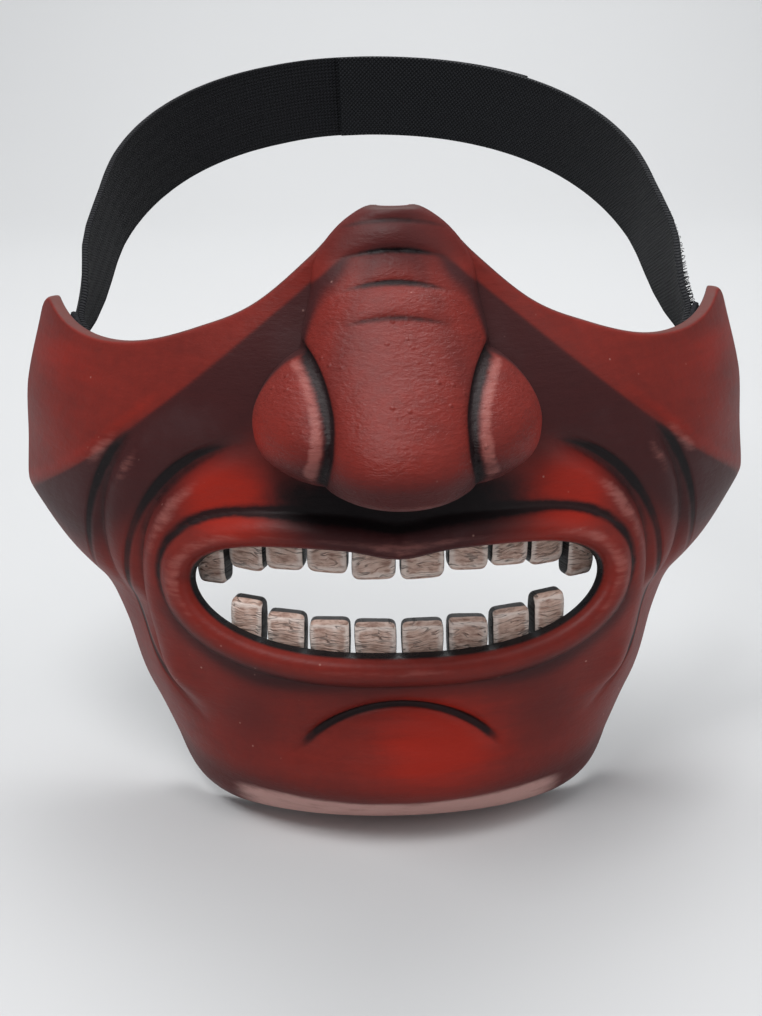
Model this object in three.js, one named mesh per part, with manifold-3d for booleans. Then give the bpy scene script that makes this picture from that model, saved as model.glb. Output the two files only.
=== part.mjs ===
// Samurai face guard: a half mask for the nose, cheeks, mouth and chin, cast in resin in one piece,
// with two rows of separate teeth behind its lips and a hook-and-loop strap round the head.
// Millimetres, +Z up. The mask faces -Y and +X is to the right of someone who looks at it.
// The origin is on the inside of the nose bridge, where the mask sits on the wearer's nose.

import * as THREE from 'three';
import { mergeVertices } from 'three/addons/utils/BufferGeometryUtils.js';
import Module from 'manifold-3d';

const wasm = await Module();
wasm.setup();

const { clamp, lerp, smoothstep, degToRad, radToDeg } = THREE.MathUtils;

// Driving dimensions of the casting

const WALL = 3; // resin wall, measured square to the surface
const GAP = 0.3; // clearance between two pieces that touch
const FACET_ROOM = 0.35; // how far the wall's flat facets may stand inside its true curve

// The face shell's level sections, from the chin up. Each one runs from the middle of the front
// (frontY) round to the rear edge (edgeX, edgeY). A high squareness keeps the front flat for longer.
const FACE_LEVELS = [
  { z: -134, frontY: -7, edgeX: 47, edgeY: 10, squareness: 2.9 },
  { z: -129, frontY: -15, edgeX: 51, edgeY: 12, squareness: 2.9 },
  { z: -121, frontY: -19, edgeX: 55, edgeY: 16, squareness: 2.8 },
  { z: -107, frontY: -19, edgeX: 63.5, edgeY: 23, squareness: 2.7 },
  { z: -93, frontY: -21, edgeX: 76, edgeY: 31, squareness: 2.6 },
  { z: -80, frontY: -22.5, edgeX: 86.5, edgeY: 40, squareness: 2.5 },
  { z: -68, frontY: -21, edgeX: 92.5, edgeY: 47, squareness: 2.35 },
  { z: -55, frontY: -17, edgeX: 96.5, edgeY: 50, squareness: 2.2 },
  { z: -40, frontY: -12, edgeX: 100.5, edgeY: 50, squareness: 2.1 },
  { z: -22, frontY: -6, edgeX: 101, edgeY: 49, squareness: 2 },
  { z: -5, frontY: 0.5, edgeX: 100, edgeY: 48, squareness: 2 },
  { z: 10, frontY: 4, edgeX: 98, edgeY: 47, squareness: 2 },
];

// The top edge's height against the distance out, as a share of the section's half width.
const TOP_EDGE = [
  { across: 0, z: 9.5 },
  { across: 0.1, z: 7.5 },
  { across: 0.18, z: 0 },
  { across: 0.3, z: -9.5 },
  { across: 0.45, z: -15.5 },
  { across: 0.65, z: -20.5 },
  { across: 0.85, z: -20.5 },
  { across: 1, z: -17 },
];

const CHIN_Z = -134; // bottom edge
const CHIN_CORNER = { across: 0.78, rise: 11 }; // round corner between the bottom and the jaw edge
const WING_CORNER = { across: 0.955, drop: 5 }; // round tip at the top of each cheek wing
const FREE_Z = -50; // below this height the rows of the surface run level
const SWEEP = 0.96; // how far round its curve a section goes, as a sine

// Cheekbone: a rounded break that runs from beside the nose out and down to the rear edge.
// Each slope fades in between two distances out, and the lower one also between two heights.
const CHEEKBONE = {
  x: 34,
  z: -18,
  fall: 0.8,
  rounding: 2.5,
  upper: { slope: 0.38, fadeX: [16, 40] },
  lower: { slope: 0.26, fadeX: [50, 70], fadeZ: [-110, -85] },
};
const CHEEK_HOLLOW = { x: 47, z: -48, halfWidth: 15, halfHeight: 13, depth: 3 };

// Mouth opening, as seen from the front
const MOUTH = {
  halfWidth: 47,
  halfHeight: 12.5,
  z: -74,
  cornerLift: 4,
  bow: 1.8, // dip in the middle of the upper lip
  bowHalfWidth: 8,
  squareness: 3.6,
};
const LIP = { crest: 2.8, reach: 4.4, height: 2.6 };

// Folds round the mouth, as arcs seen from the front, for the +X side. A fold is a groove with a
// raised roll inside it. from and to are angles in degrees.
const SMILE_FOLDS = [
  { x: 26, z: -76, radius: 37, from: -50, to: 72, depth: 1.5, width: 2.5, roll: 1.6 },
  { x: 26, z: -72, radius: 47, from: -12, to: 42, depth: 1.2, width: 2.4, roll: 1.2 },
];
const CHIN_FOLD = { x: 0, z: -128, radius: 29, from: 42, to: 138, depth: 1.2, width: 2.2, roll: 0 };
const FOLD_FADE = 14; // degrees over which a fold dies out
const FOLD_ROLL = { offset: 2, width: 1.6 }; // place and width of a roll, in widths of its groove
const FOLD_CLEAR = [4, 9]; // distances from the mouth's edge between which the folds fade in
const CHIN_BOSS = { z: -117, halfWidth: 27, halfHeight: 10, height: 5.5 };

// Nose: its sections from the tip's underside up to the top of the bridge.
const NOSE_LEVELS = [
  { z: -47, halfWidth: 9, frontY: -31 },
  { z: -44.5, halfWidth: 16, frontY: -40.5 },
  { z: -40, halfWidth: 21, frontY: -45 },
  { z: -34, halfWidth: 22, frontY: -44.5 },
  { z: -26, halfWidth: 21.5, frontY: -36.5 },
  { z: -17, halfWidth: 20.5, frontY: -24 },
  { z: -8, halfWidth: 18.5, frontY: -11.8 },
  { z: -2, halfWidth: 17.5, frontY: -4.6 },
  { z: 3, halfWidth: 14.5, frontY: -1.6 },
  { z: 7, halfWidth: 10.5, frontY: 0 },
  { z: 10, halfWidth: 6, frontY: 0.8 },
];
const NOSE_SQUARENESS = 2.12; // above 2 the nose is fuller than an ellipse, seen from above
const NOSE_HOLLOW = { floor: -38, top: 18, rows: 12 };
const HOLLOW_BACK = 60; // how far back the nose hollow and the mouth opening are cut
// The nostril wing on each side swells out of the nose. turn and spread are degrees round the nose
// from its front.
const NOSTRIL_WING = { turn: 76, spread: 46, z: -33, up: 14, height: 9.5, fullness: 0.85 };
const NOSTRIL = { x: 9.5, y: -30, z: -48, radii: [4.5, 8, 4.5], toeIn: 14 };
// Rolls of skin across the bridge. reach is half the number of rolls.
const FROWN = { z: -1.5, pitch: 6, reach: 1.5, height: 1.5, droop: 0.014, halfWidth: 13, fullness: 2.5 };

// Teeth, as widths from the middle outward. Each one stands behind its lip.
const UPPER_TEETH = { widths: [10, 9.2, 8.8, 8.4, 7.2], show: 8, hidden: 4.5, up: 1 };
const LOWER_TEETH = { widths: [9.6, 9.2, 8.8, 7.6], show: 6.8, hidden: 4.5, up: -1 };
const TOOTH = { depth: 4.2, bevel: 0.9, tipRadius: 2, spacing: 1, taper: 0.5 };

// Head strap: two bands of webbing that leave the cheeks and meet at the back of the head.
const STRAP = { width: 25, thickness: 1.8, startZ: -38.5, rise: 0.38, clearance: 0.45 };
const STRAP_SEAT = { from: 0.84, to: 0.965 }; // where a strap's end lies on the cheek, as across
// The strap's path round the head: it bows out beside the temples, then follows half an ellipse.
const HEAD = { halfWidth: 77, sideY: 94, backY: 190, backZ: 18, templeX: 79.2, templeY: 68 };
// Where the bands lie on each other, as distances from the middle of the back.
const OVERLAP = { start: -10, end: 52, ramp: 22, clear: 2 };
// Stick-on patch between a strap's end and the cheek, from one share of the way across to another.
const PATCH = { height: 27, thickness: 1.6, from: 0.835, to: 0.955 };

// Steps of the meshes
const COLUMN_BANDS = [
  { to: 24, rows: 8 },
  { to: 43, rows: 11 },
  { to: 73.7, rows: 11 },
]; // degrees round the section's curve, from the middle out
const FACE_BANDS = [
  { to: -124, rows: 3 },
  { to: -94, rows: 8 },
  { to: -58, rows: 18 },
  { to: FREE_Z, rows: 3 },
];
const FACE_TOP_ROWS = 8;
const NOSE_BANDS = [
  { to: -38, rows: 7 },
  { to: -20, rows: 8 },
  { to: -12, rows: 3 },
  { to: 10, rows: 17 },
];
const NOSE_FRONT_STEPS = 32;
const NOSE_BACK_STEPS = 6;
const MOUTH_STEPS = 56;
const STRAP_STEP = 9;
const HEAD_TURNS = 6; // stations on each quarter of the head
const TURN_BLEND = 4; // steps over which the strap turns from the cheek's lean to upright
const SEAT_STATIONS = 6; // stations of a strap's end or a patch on the cheek

// Where the wall is sampled to keep a tooth or a strap's end clear of it, as shares of its size
const TOOTH_SAMPLES = [-0.6, -0.3, 0, 0.3, 0.6];
const SEAT_SAMPLES = [-1, -0.7, -0.35, 0.35, 0.7, 1];
const SEAT_REACH = 0.02; // how far to each side of a station, as a share of the half width

// Helpers

const bell = (x) => Math.exp(-x * x);

// Value of one column of a table at a place between its rows, on a smooth curve.
function along(rows, place, key, column) {
  const last = rows.length - 1;
  const span = (i) => rows[i + 1][key] - rows[i][key];
  const slope = (i) => (rows[i + 1][column] - rows[i][column]) / span(i);
  const tangent = (i) => {
    if (i === 0) return slope(0);
    if (i === last) return slope(last - 1);
    return (slope(i - 1) * span(i) + slope(i) * span(i - 1)) / (span(i - 1) + span(i));
  };
  let i = 0;
  while (i < last - 1 && place > rows[i + 1][key]) i++;
  const t = clamp((place - rows[i][key]) / span(i), 0, 1);
  return (
    rows[i][column] * (1 + 2 * t) * (1 - t) ** 2 +
    rows[i + 1][column] * (3 - 2 * t) * t ** 2 +
    span(i) * (tangent(i) * t * (1 - t) ** 2 - tangent(i + 1) * (1 - t) * t ** 2)
  );
}

// Heights from a start, in bands that each have their own number of rows.
function levelsFrom(start, bands) {
  const levels = [start];
  for (const band of bands) {
    const from = levels[levels.length - 1];
    for (let i = 1; i <= band.rows; i++) levels.push(lerp(from, band.to, i / band.rows));
  }
  return levels;
}

function indexed(points, triangles) {
  const geometry = new THREE.BufferGeometry();
  geometry.setFromPoints(points);
  geometry.setIndex(triangles.flat());
  return geometry;
}

const quad = (a, b, c, d) => [a, b, c, a, c, d];

// Closed body through rings of points. Each ring turns right-handed about the way the rings run.
function loft(rings) {
  const sides = rings[0].length;
  const at = (ring, side) => ring * sides + (side % sides);
  const triangles = [];
  for (let i = 0; i < rings.length - 1; i++)
    for (let j = 0; j < sides; j++)
      triangles.push(quad(at(i, j), at(i, j + 1), at(i + 1, j + 1), at(i + 1, j)));
  const end = rings.length - 1;
  for (let j = 1; j < sides - 1; j++) {
    triangles.push([at(0, 0), at(0, j + 1), at(0, j)]);
    triangles.push([at(end, 0), at(end, j), at(end, j + 1)]);
  }
  return indexed(rings.flat(), triangles);
}

function toSolid(geometry) {
  const bare = new THREE.BufferGeometry();
  bare.setAttribute('position', geometry.getAttribute('position'));
  bare.setIndex(geometry.getIndex());
  const merged = mergeVertices(bare, 1e-4);
  const vertProperties = new Float32Array(merged.getAttribute('position').array);
  const triVerts = new Uint32Array(merged.getIndex().array);
  return new wasm.Manifold(new wasm.Mesh({ numProp: 3, vertProperties, triVerts }));
}

function toGeometry(manifold) {
  const mesh = manifold.getMesh();
  const geometry = new THREE.BufferGeometry();
  geometry.setAttribute('position', new THREE.BufferAttribute(mesh.vertProperties, 3));
  geometry.setIndex(new THREE.BufferAttribute(mesh.triVerts, 1));
  return geometry;
}

// Mouth outline

const mouthMiddle = (x) => MOUTH.z + MOUTH.cornerLift * (x / MOUTH.halfWidth) ** 2;
const cupidBow = (x) => MOUTH.bow * bell(x / MOUTH.bowHalfWidth);

// Height of a lip's edge. up is 1 for the upper lip and -1 for the lower one.
function lipEdge(x, up) {
  const share = clamp(Math.abs(x) / MOUTH.halfWidth, 0, 1);
  const height = MOUTH.halfHeight * Math.sqrt(1 - share ** MOUTH.squareness);
  return mouthMiddle(x) + up * height - (up > 0 ? cupidBow(x) : 0);
}

const mouthOutline = Array.from({ length: MOUTH_STEPS }, (_, i) => {
  const angle = (2 * Math.PI * i) / MOUTH_STEPS;
  const across = Math.sign(Math.cos(angle)) * Math.abs(Math.cos(angle)) ** (2 / MOUTH.squareness);
  const x = MOUTH.halfWidth * across;
  const dip = Math.sin(angle) > 1e-9 ? cupidBow(x) : 0;
  return new THREE.Vector2(x, mouthMiddle(x) + MOUTH.halfHeight * Math.sin(angle) - dip);
});

// Distance from a point to the mouth's edge, negative inside the opening.
function fromMouth(x, z) {
  let nearest = Infinity;
  let inside = false;
  mouthOutline.forEach((a, i) => {
    const b = mouthOutline[(i + 1) % MOUTH_STEPS];
    const [ex, ez] = [b.x - a.x, b.y - a.y];
    const t = clamp(((x - a.x) * ex + (z - a.y) * ez) / (ex * ex + ez * ez), 0, 1);
    nearest = Math.min(nearest, Math.hypot(x - a.x - t * ex, z - a.y - t * ez));
    if (a.y > z !== b.y > z && x < a.x + ((z - a.y) / ez) * ex) inside = !inside;
  });
  return inside ? -nearest : nearest;
}

// Face shell

// A point of the plain face surface, at a share of the half width and a height.
function plainFace(across, z) {
  const [frontY, edgeX, edgeY, squareness] = ['frontY', 'edgeX', 'edgeY', 'squareness'].map(
    (column) => along(FACE_LEVELS, z, 'z', column),
  );
  const turn = (share) => 1 - Math.sqrt(1 - (SWEEP * Math.abs(share)) ** squareness);
  return new THREE.Vector3(edgeX * across, lerp(frontY, edgeY, turn(across) / turn(1)), z);
}

// Large forms that both sides of the wall share: the cheekbone's break and the hollow under it.
function broadForm(x, z) {
  const out = Math.abs(x);
  const bone = CHEEKBONE;
  const above = (z - bone.z + bone.fall * (out - bone.x)) / Math.hypot(1, bone.fall);
  const ramp = (distance) => (Math.hypot(distance, bone.rounding) + distance) / 2;
  const upper = bone.upper.slope * ramp(above) * smoothstep(out, ...bone.upper.fadeX);
  const sink = bone.lower.slope * smoothstep(out, ...bone.lower.fadeX);
  const lower = sink * ramp(-above) * smoothstep(z, ...bone.lower.fadeZ);
  const hollow =
    CHEEK_HOLLOW.depth *
    bell((out - CHEEK_HOLLOW.x) / CHEEK_HOLLOW.halfWidth) *
    bell((z - CHEEK_HOLLOW.z) / CHEEK_HOLLOW.halfHeight);
  return -upper - lower - hollow;
}

function fold(x, z, arc) {
  const offset = Math.hypot(x - arc.x, z - arc.z) - arc.radius;
  const angle = radToDeg(Math.atan2(z - arc.z, x - arc.x));
  const starts = smoothstep(angle, arc.from - FOLD_FADE, arc.from + FOLD_FADE);
  const ends = 1 - smoothstep(angle, arc.to - FOLD_FADE, arc.to + FOLD_FADE);
  const fromRoll = offset / arc.width + FOLD_ROLL.offset;
  const roll = arc.roll * bell(fromRoll / FOLD_ROLL.width);
  return starts * ends * (roll - arc.depth * bell(offset / arc.width));
}

// Raised and sunk detail, on the outside only.
function relief(x, z) {
  const m = fromMouth(x, z);
  const lip = LIP.height * Math.max(0, 1 - ((m - LIP.crest) / LIP.reach) ** 2);
  const boss =
    CHIN_BOSS.height *
    bell(x / CHIN_BOSS.halfWidth) *
    bell((z - CHIN_BOSS.z) / CHIN_BOSS.halfHeight);
  const folds = SMILE_FOLDS.reduce((sum, arc) => sum + fold(Math.abs(x), z, arc), 0);
  const clearOfLips = smoothstep(m, ...FOLD_CLEAR);
  return lip + boss + clearOfLips * (folds + fold(x, z, CHIN_FOLD));
}

// A point on the outside or inside of the wall, pushed square to the plain surface.
function facePoint(across, z, side) {
  const h = 1e-3;
  const p = plainFace(across, z);
  const sideways = plainFace(across + h, z).sub(plainFace(across - h, z));
  const upward = plainFace(across, z + h).sub(plainFace(across, z - h));
  const outward = sideways.cross(upward).normalize();
  const push = broadForm(p.x, p.z) + (side === 'outer' ? relief(p.x, p.z) : -WALL);
  return p.addScaledVector(outward, push);
}

// Drop of a rounded corner that starts at a share of the way across.
function cornerTurn(across, start) {
  const turn = clamp((across - start) / (1 - start), 0, 1);
  return 1 - Math.sqrt(1 - turn ** 2);
}

// Heights of the grid's rows in one column, from the bottom edge to the top edge.
function columnHeights(across) {
  const out = Math.min(Math.abs(across), 1);
  const wingDrop = WING_CORNER.drop * cornerTurn(out, WING_CORNER.across);
  const top = along(TOP_EDGE, out, 'across', 'z') - wingDrop;
  const bottom = CHIN_Z + CHIN_CORNER.rise * cornerTurn(out, CHIN_CORNER.across);
  const lower = levelsFrom(CHIN_Z, FACE_BANDS).map((level) =>
    lerp(bottom, FREE_Z, (level - CHIN_Z) / (FREE_Z - CHIN_Z)),
  );
  const upper = levelsFrom(FREE_Z, [{ to: top, rows: FACE_TOP_ROWS }]);
  return [...lower, ...upper.slice(1)];
}

// One cell of a grid, split along the diagonal that keeps both halves of the face alike.
function mirroredQuad(at, c, r, step, left) {
  const corners = [at(c, r), at(c + step, r), at(c + step, r + step), at(c, r + step)];
  return left ? quad(...corners) : quad(...corners.slice(1), corners[0]);
}

// The closed wall: a fine grid outside, and inside one with every second row and column.
function faceWall() {
  const half = levelsFrom(0, COLUMN_BANDS).map((angle) => Math.sin(degToRad(angle)) / SWEEP);
  const columns = [...half.slice(1).map((across) => -across).reverse(), ...half];
  const heights = columns.map(columnHeights);
  const [width, height] = [columns.length, heights[0].length];
  const outerPoints = columns.flatMap((q, c) => heights[c].map((z) => facePoint(q, z, 'outer')));
  const everySecond = (_, i) => i % 2 === 0;
  const innerPoints = columns
    .filter(everySecond)
    .flatMap((q, c) => heights[2 * c].filter(everySecond).map((z) => facePoint(q, z, 'inner')));
  const outer = (c, r) => c * height + r;
  const inner = (c, r) => width * height + ((c / 2) * (height + 1)) / 2 + r / 2;
  const triangles = [];
  for (let c = 0; c < width - 1; c++)
    for (let r = 0; r < height - 1; r++)
      triangles.push(mirroredQuad(outer, c, r, 1, c < (width - 1) / 2));
  for (let c = 0; c < width - 2; c += 2)
    for (let r = 0; r < height - 2; r += 2)
      triangles.push(mirroredQuad(inner, c, r, 2, c < (width - 1) / 2).reverse());
  // Rim strips: three outer points to two inner ones, all the way round.
  const rim = [];
  const [right, top] = [width - 1, height - 1];
  for (let c = 0; c < right; c += 2) rim.push([[c, 0], [c + 1, 0], [c + 2, 0]]);
  for (let r = 0; r < top; r += 2) rim.push([[right, r], [right, r + 1], [right, r + 2]]);
  for (let c = right; c > 0; c -= 2) rim.push([[c, top], [c - 1, top], [c - 2, top]]);
  for (let r = top; r > 0; r -= 2) rim.push([[0, r], [0, r - 1], [0, r - 2]]);
  for (const [a, b, c] of rim) {
    triangles.push([outer(...b), outer(...a), inner(...a)]);
    triangles.push([outer(...b), inner(...a), inner(...c)]);
    triangles.push([outer(...b), inner(...c), outer(...c)]);
  }
  return indexed([...outerPoints, ...innerPoints], triangles);
}

// Nose

// Middle of the face wall behind a place seen from the front. The nose's own solids end there.
function wallMiddle(x, z) {
  const across = clamp(x / along(FACE_LEVELS, z, 'z', 'edgeX'), -1, 1);
  return plainFace(across, z).y - broadForm(x, z) + WALL / 2;
}

// Height of the rolls across the bridge. They arch over the nose, with tight creases between them.
function frown(x, z) {
  const place = (z - FROWN.z + FROWN.droop * x * x) / FROWN.pitch;
  if (Math.abs(place) > FROWN.reach) return 0;
  const profile = 1 - Math.abs(2 * (place - Math.round(place))) ** FROWN.fullness;
  return FROWN.height * profile * bell((x / FROWN.halfWidth) ** 2);
}

// How far a nostril wing swells out of the nose. turn is in degrees round from the front.
function wingSwell(turn, z) {
  const wing = NOSTRIL_WING;
  const d = Math.hypot((Math.abs(turn) - wing.turn) / wing.spread, (z - wing.z) / wing.up);
  return wing.height * Math.max(0, 1 - d * d) ** wing.fullness;
}

// Rings of the nose. A solid one ends in the middle of the wall; a hollow one is a wall thinner, has
// no nostril wings and runs back to hollowY.
function noseRings(levels, hollowY) {
  const hollow = hollowY !== undefined;
  const inset = hollow ? WALL : 0;
  const power = NOSE_SQUARENESS;
  return levels.map((z) => {
    const axisY = wallMiddle(0, z);
    const halfWidth = along(NOSE_LEVELS, z, 'z', 'halfWidth') - inset;
    const forward = axisY - along(NOSE_LEVELS, z, 'z', 'frontY') - inset;
    const ring = [];
    for (let j = 0; j <= NOSE_FRONT_STEPS; j++) {
      const turn = (180 * j) / NOSE_FRONT_STEPS - 90;
      const [sin, cos] = [Math.sin(degToRad(turn)), Math.cos(degToRad(turn))];
      const across = Math.abs(sin) / halfWidth;
      let reach = (across ** power + (cos / forward) ** power) ** (-1 / power);
      if (!hollow) reach += wingSwell(turn, z);
      const x = reach * sin;
      const wrinkle = hollow ? 0 : frown(x, z) * cos;
      ring.push(new THREE.Vector3(x, axisY - reach * cos - wrinkle, z));
    }
    const side = ring.at(-1).x;
    for (let j = 0; j <= NOSE_BACK_STEPS; j++) {
      const x = lerp(side, -side, j / NOSE_BACK_STEPS);
      ring.push(new THREE.Vector3(x, hollow ? hollowY : wallMiddle(x, z), z));
    }
    return ring;
  });
}

// Ellipsoids that sink a shallow nostril into each side of the nose's underside.
function nostrils() {
  return [-1, 1].map((side) => {
    const geometry = new THREE.SphereGeometry(1, 16, 10);
    geometry.scale(...NOSTRIL.radii);
    geometry.rotateZ(side * degToRad(NOSTRIL.toeIn));
    geometry.translate(side * NOSTRIL.x, NOSTRIL.y, NOSTRIL.z);
    return toSolid(geometry);
  });
}

// Prism through the wall with the mouth's outline.
function mouthPrism() {
  const shape = new THREE.Shape(mouthOutline);
  const depth = 2 * HOLLOW_BACK;
  const geometry = new THREE.ExtrudeGeometry(shape, { depth, bevelEnabled: false });
  geometry.rotateX(Math.PI / 2);
  geometry.translate(0, HOLLOW_BACK, 0);
  return toSolid(geometry);
}

function faceShell() {
  const noseLevels = levelsFrom(NOSE_LEVELS[0].z, NOSE_BANDS);
  const hollowLevels = levelsFrom(NOSE_HOLLOW.floor, [{ to: NOSE_HOLLOW.top, rows: NOSE_HOLLOW.rows }]);
  let shell = toSolid(faceWall()).add(toSolid(loft(noseRings(noseLevels))));
  for (const nostril of nostrils()) shell = shell.subtract(nostril);
  shell = shell.subtract(toSolid(loft(noseRings(hollowLevels, HOLLOW_BACK))));
  return toGeometry(shell.subtract(mouthPrism()));
}

// Teeth

// Turn and place of a tooth on the arch, with its face a gap behind the wall all over its own area.
function toothSeat(x, width, teeth) {
  const lip = lipEdge(x, teeth.up);
  const wall = (px, pz) => facePoint(px / along(FACE_LEVELS, pz, 'z', 'edgeX'), pz, 'inner');
  const turn = wall(x + 1, lip).sub(wall(x - 1, lip));
  const angle = Math.atan2(turn.y, turn.x);
  const outward = new THREE.Vector3(Math.sin(angle), -Math.cos(angle), 0);
  const middle = wall(x, lip);
  let inset = 0;
  for (const u of TOOTH_SAMPLES)
    for (const v of [-teeth.show, -teeth.show / 2, 0, teeth.hidden / 2, teeth.hidden + 1]) {
      const point = wall(x + u * width * Math.cos(angle), lip + v * teeth.up);
      inset = Math.min(inset, point.sub(middle).dot(outward));
    }
  return { angle, lip, place: middle.addScaledVector(outward, inset - GAP - TOOTH.depth) };
}

function toothGeometry(width, teeth) {
  const [half, root] = [width / 2, width / 2 - TOOTH.taper];
  const length = teeth.show + teeth.hidden;
  const r = TOOTH.tipRadius;
  const shape = new THREE.Shape();
  shape.moveTo(-half + r, 0);
  shape.lineTo(half - r, 0);
  shape.absarc(half - r, r, r, -Math.PI / 2, 0);
  shape.lineTo(root, length);
  shape.lineTo(-root, length);
  shape.lineTo(-half, r);
  shape.absarc(-half + r, r, r, Math.PI, 1.5 * Math.PI);
  const geometry = new THREE.ExtrudeGeometry(shape, {
    depth: TOOTH.depth - 2 * TOOTH.bevel,
    bevelThickness: TOOTH.bevel,
    bevelSize: TOOTH.bevel,
    bevelOffset: -TOOTH.bevel,
    bevelSegments: 1,
    curveSegments: 1,
  });
  geometry.translate(0, 0, TOOTH.bevel);
  if (teeth.up < 0) geometry.rotateZ(Math.PI);
  return geometry;
}

// A row of teeth from the middle outward. Where the arch turns, neighbours stand further apart, so
// that their backs stay clear of each other.
function addTeeth(teeth, name) {
  let x = TOOTH.spacing / 2;
  let lastAngle = 0;
  teeth.widths.forEach((width, i) => {
    const { angle } = toothSeat(x + width / 2, width, teeth);
    x += TOOTH.depth * (angle - lastAngle);
    const seat = toothSeat(x + (width * Math.cos(angle)) / 2, width, teeth);
    for (const side of [1, -1]) {
      const mesh = add(`${name}_${2 * i + (side > 0 ? 1 : 2)}`, toothGeometry(width, teeth), ivory);
      mesh.rotation.set(Math.PI / 2, 0, side * seat.angle, 'ZYX');
      mesh.position.set(side * seat.place.x, seat.place.y, seat.lip - teeth.up * teeth.show);
    }
    x += width * Math.cos(seat.angle) + TOOTH.spacing;
    lastAngle = seat.angle;
  });
}

// Head strap

const MIRROR = new THREE.Vector3(-1, 1, 1);
const mirrored = ({ outward, place }) => ({
  outward: outward.clone().multiply(MIRROR),
  place: place.clone().multiply(MIRROR),
});

// Places along the inside of the +X cheek where a band lies, at a depth behind the wall.
function cheekStations(depth, from, to) {
  const firstY = plainFace(STRAP_SEAT.from, STRAP.startZ).y;
  return Array.from({ length: SEAT_STATIONS }, (_, i) => {
    const across = lerp(from, to, i / (SEAT_STATIONS - 1));
    const z = STRAP.startZ + STRAP.rise * (plainFace(across, STRAP.startZ).y - firstY);
    const wall = (q, dz) => facePoint(across + q, z + dz, 'inner');
    const rearward = wall(SEAT_REACH, 0).sub(wall(-SEAT_REACH, 0));
    const upward = wall(0, PATCH.height / 6).sub(wall(0, -PATCH.height / 6));
    const outward = rearward.cross(upward).normalize();
    const middle = wall(0, 0);
    let inset = 0;
    for (const q of [-SEAT_REACH, 0, SEAT_REACH])
      for (const share of SEAT_SAMPLES) {
        const point = wall(q, (share * PATCH.height) / 2);
        inset = Math.min(inset, point.sub(middle).dot(outward));
      }
    return { outward, place: middle.addScaledVector(outward, inset - FACET_ROOM - depth) };
  });
}

// The band's middle line as stations, from the +X cheek round the head to the -X cheek.
function headStations() {
  const depth = GAP + PATCH.thickness + STRAP.clearance + STRAP.thickness / 2;
  const seat = cheekStations(depth, STRAP_SEAT.from, STRAP_SEAT.to);
  const last = seat.at(-1);
  const lengthY = HEAD.backY - HEAD.sideY;
  const plan = [last.place.clone().setZ(0), new THREE.Vector3(HEAD.templeX, HEAD.templeY, 0)];
  for (let i = 0; i <= HEAD_TURNS; i++) {
    const turn = (Math.PI / 2) * (i / HEAD_TURNS);
    const [cos, sin] = [Math.cos(turn), Math.sin(turn)];
    plan.push(new THREE.Vector3(HEAD.halfWidth * cos, HEAD.sideY + lengthY * sin, 0));
  }
  const curve = new THREE.CatmullRomCurve3(plan, false, 'centripetal');
  const steps = Math.round(curve.getLength() / STRAP_STEP);
  const free = [];
  for (let i = 1; i <= steps; i++) {
    const share = i / steps;
    const place = curve.getPointAt(share);
    const tangent = i === steps ? new THREE.Vector3(-1, 0, 0) : curve.getTangentAt(share);
    place.z = lerp(last.place.z, HEAD.backZ, Math.sin((share * Math.PI) / 2));
    const level = new THREE.Vector3(tangent.y, -tangent.x, 0);
    const outward = last.outward.clone().lerp(level, smoothstep(i, 0, TURN_BLEND)).normalize();
    free.push({ outward, place });
  }
  const half = [...seat, ...free];
  return [...half, ...half.slice(0, -1).map(mirrored).reverse()];
}

// Flat band along stations, with its width square to the way it runs.
function band(stations, width, thickness) {
  const rings = stations.map(({ outward, place }, i) => {
    const before = stations[Math.max(i - 1, 0)].place;
    const after = stations[Math.min(i + 1, stations.length - 1)].place;
    const forward = after.clone().sub(before).normalize();
    const upward = outward.clone().cross(forward).normalize();
    const out = forward.clone().cross(upward);
    return [[1, 1], [1, -1], [-1, -1], [-1, 1]].map(([n, u]) =>
      place
        .clone()
        .addScaledVector(out, (n * thickness) / 2)
        .addScaledVector(upward, (u * width) / 2),
    );
  });
  return loft(rings);
}

// The stretch of the loop between two distances from the middle of the back, which grow towards the
// +X cheek. lift gives how far out it is pushed at a distance.
function stretch(stations, from, to, lift) {
  const lengths = [0];
  for (let i = 1; i < stations.length; i++)
    lengths.push(lengths[i - 1] + stations[i].place.distanceTo(stations[i - 1].place));
  const distances = lengths.map((length) => lengths.at(-1) / 2 - length);
  const stationAt = (distance) => {
    const i = clamp(distances.findIndex((d) => d <= distance), 1, stations.length - 1);
    const share = (distances[i - 1] - distance) / (distances[i - 1] - distances[i]);
    const outward = stations[i - 1].outward.clone().lerp(stations[i].outward, share).normalize();
    const place = stations[i - 1].place.clone().lerp(stations[i].place, share);
    return { outward, place: place.addScaledVector(outward, lift(distance)) };
  };
  const inside = distances.filter((d) => d > from + 1 && d < to - 1);
  return [to, ...inside, from].map(stationAt);
}

// Materials and the finished group

const resin = new THREE.MeshStandardMaterial({ color: 0x7c2a20, roughness: 0.42, metalness: 0 });
const ivory = new THREE.MeshStandardMaterial({ color: 0xa38a6c, roughness: 0.4, metalness: 0 });
const webbing = new THREE.MeshStandardMaterial({ color: 0x15171c, roughness: 0.85, metalness: 0 });
const hooks = new THREE.MeshStandardMaterial({ color: 0x1b1c21, roughness: 0.9, metalness: 0 });

const guard = new THREE.Group();

function add(name, geometry, material) {
  const mesh = new THREE.Mesh(geometry, material);
  mesh.name = name;
  guard.add(mesh);
  return mesh;
}

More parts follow.
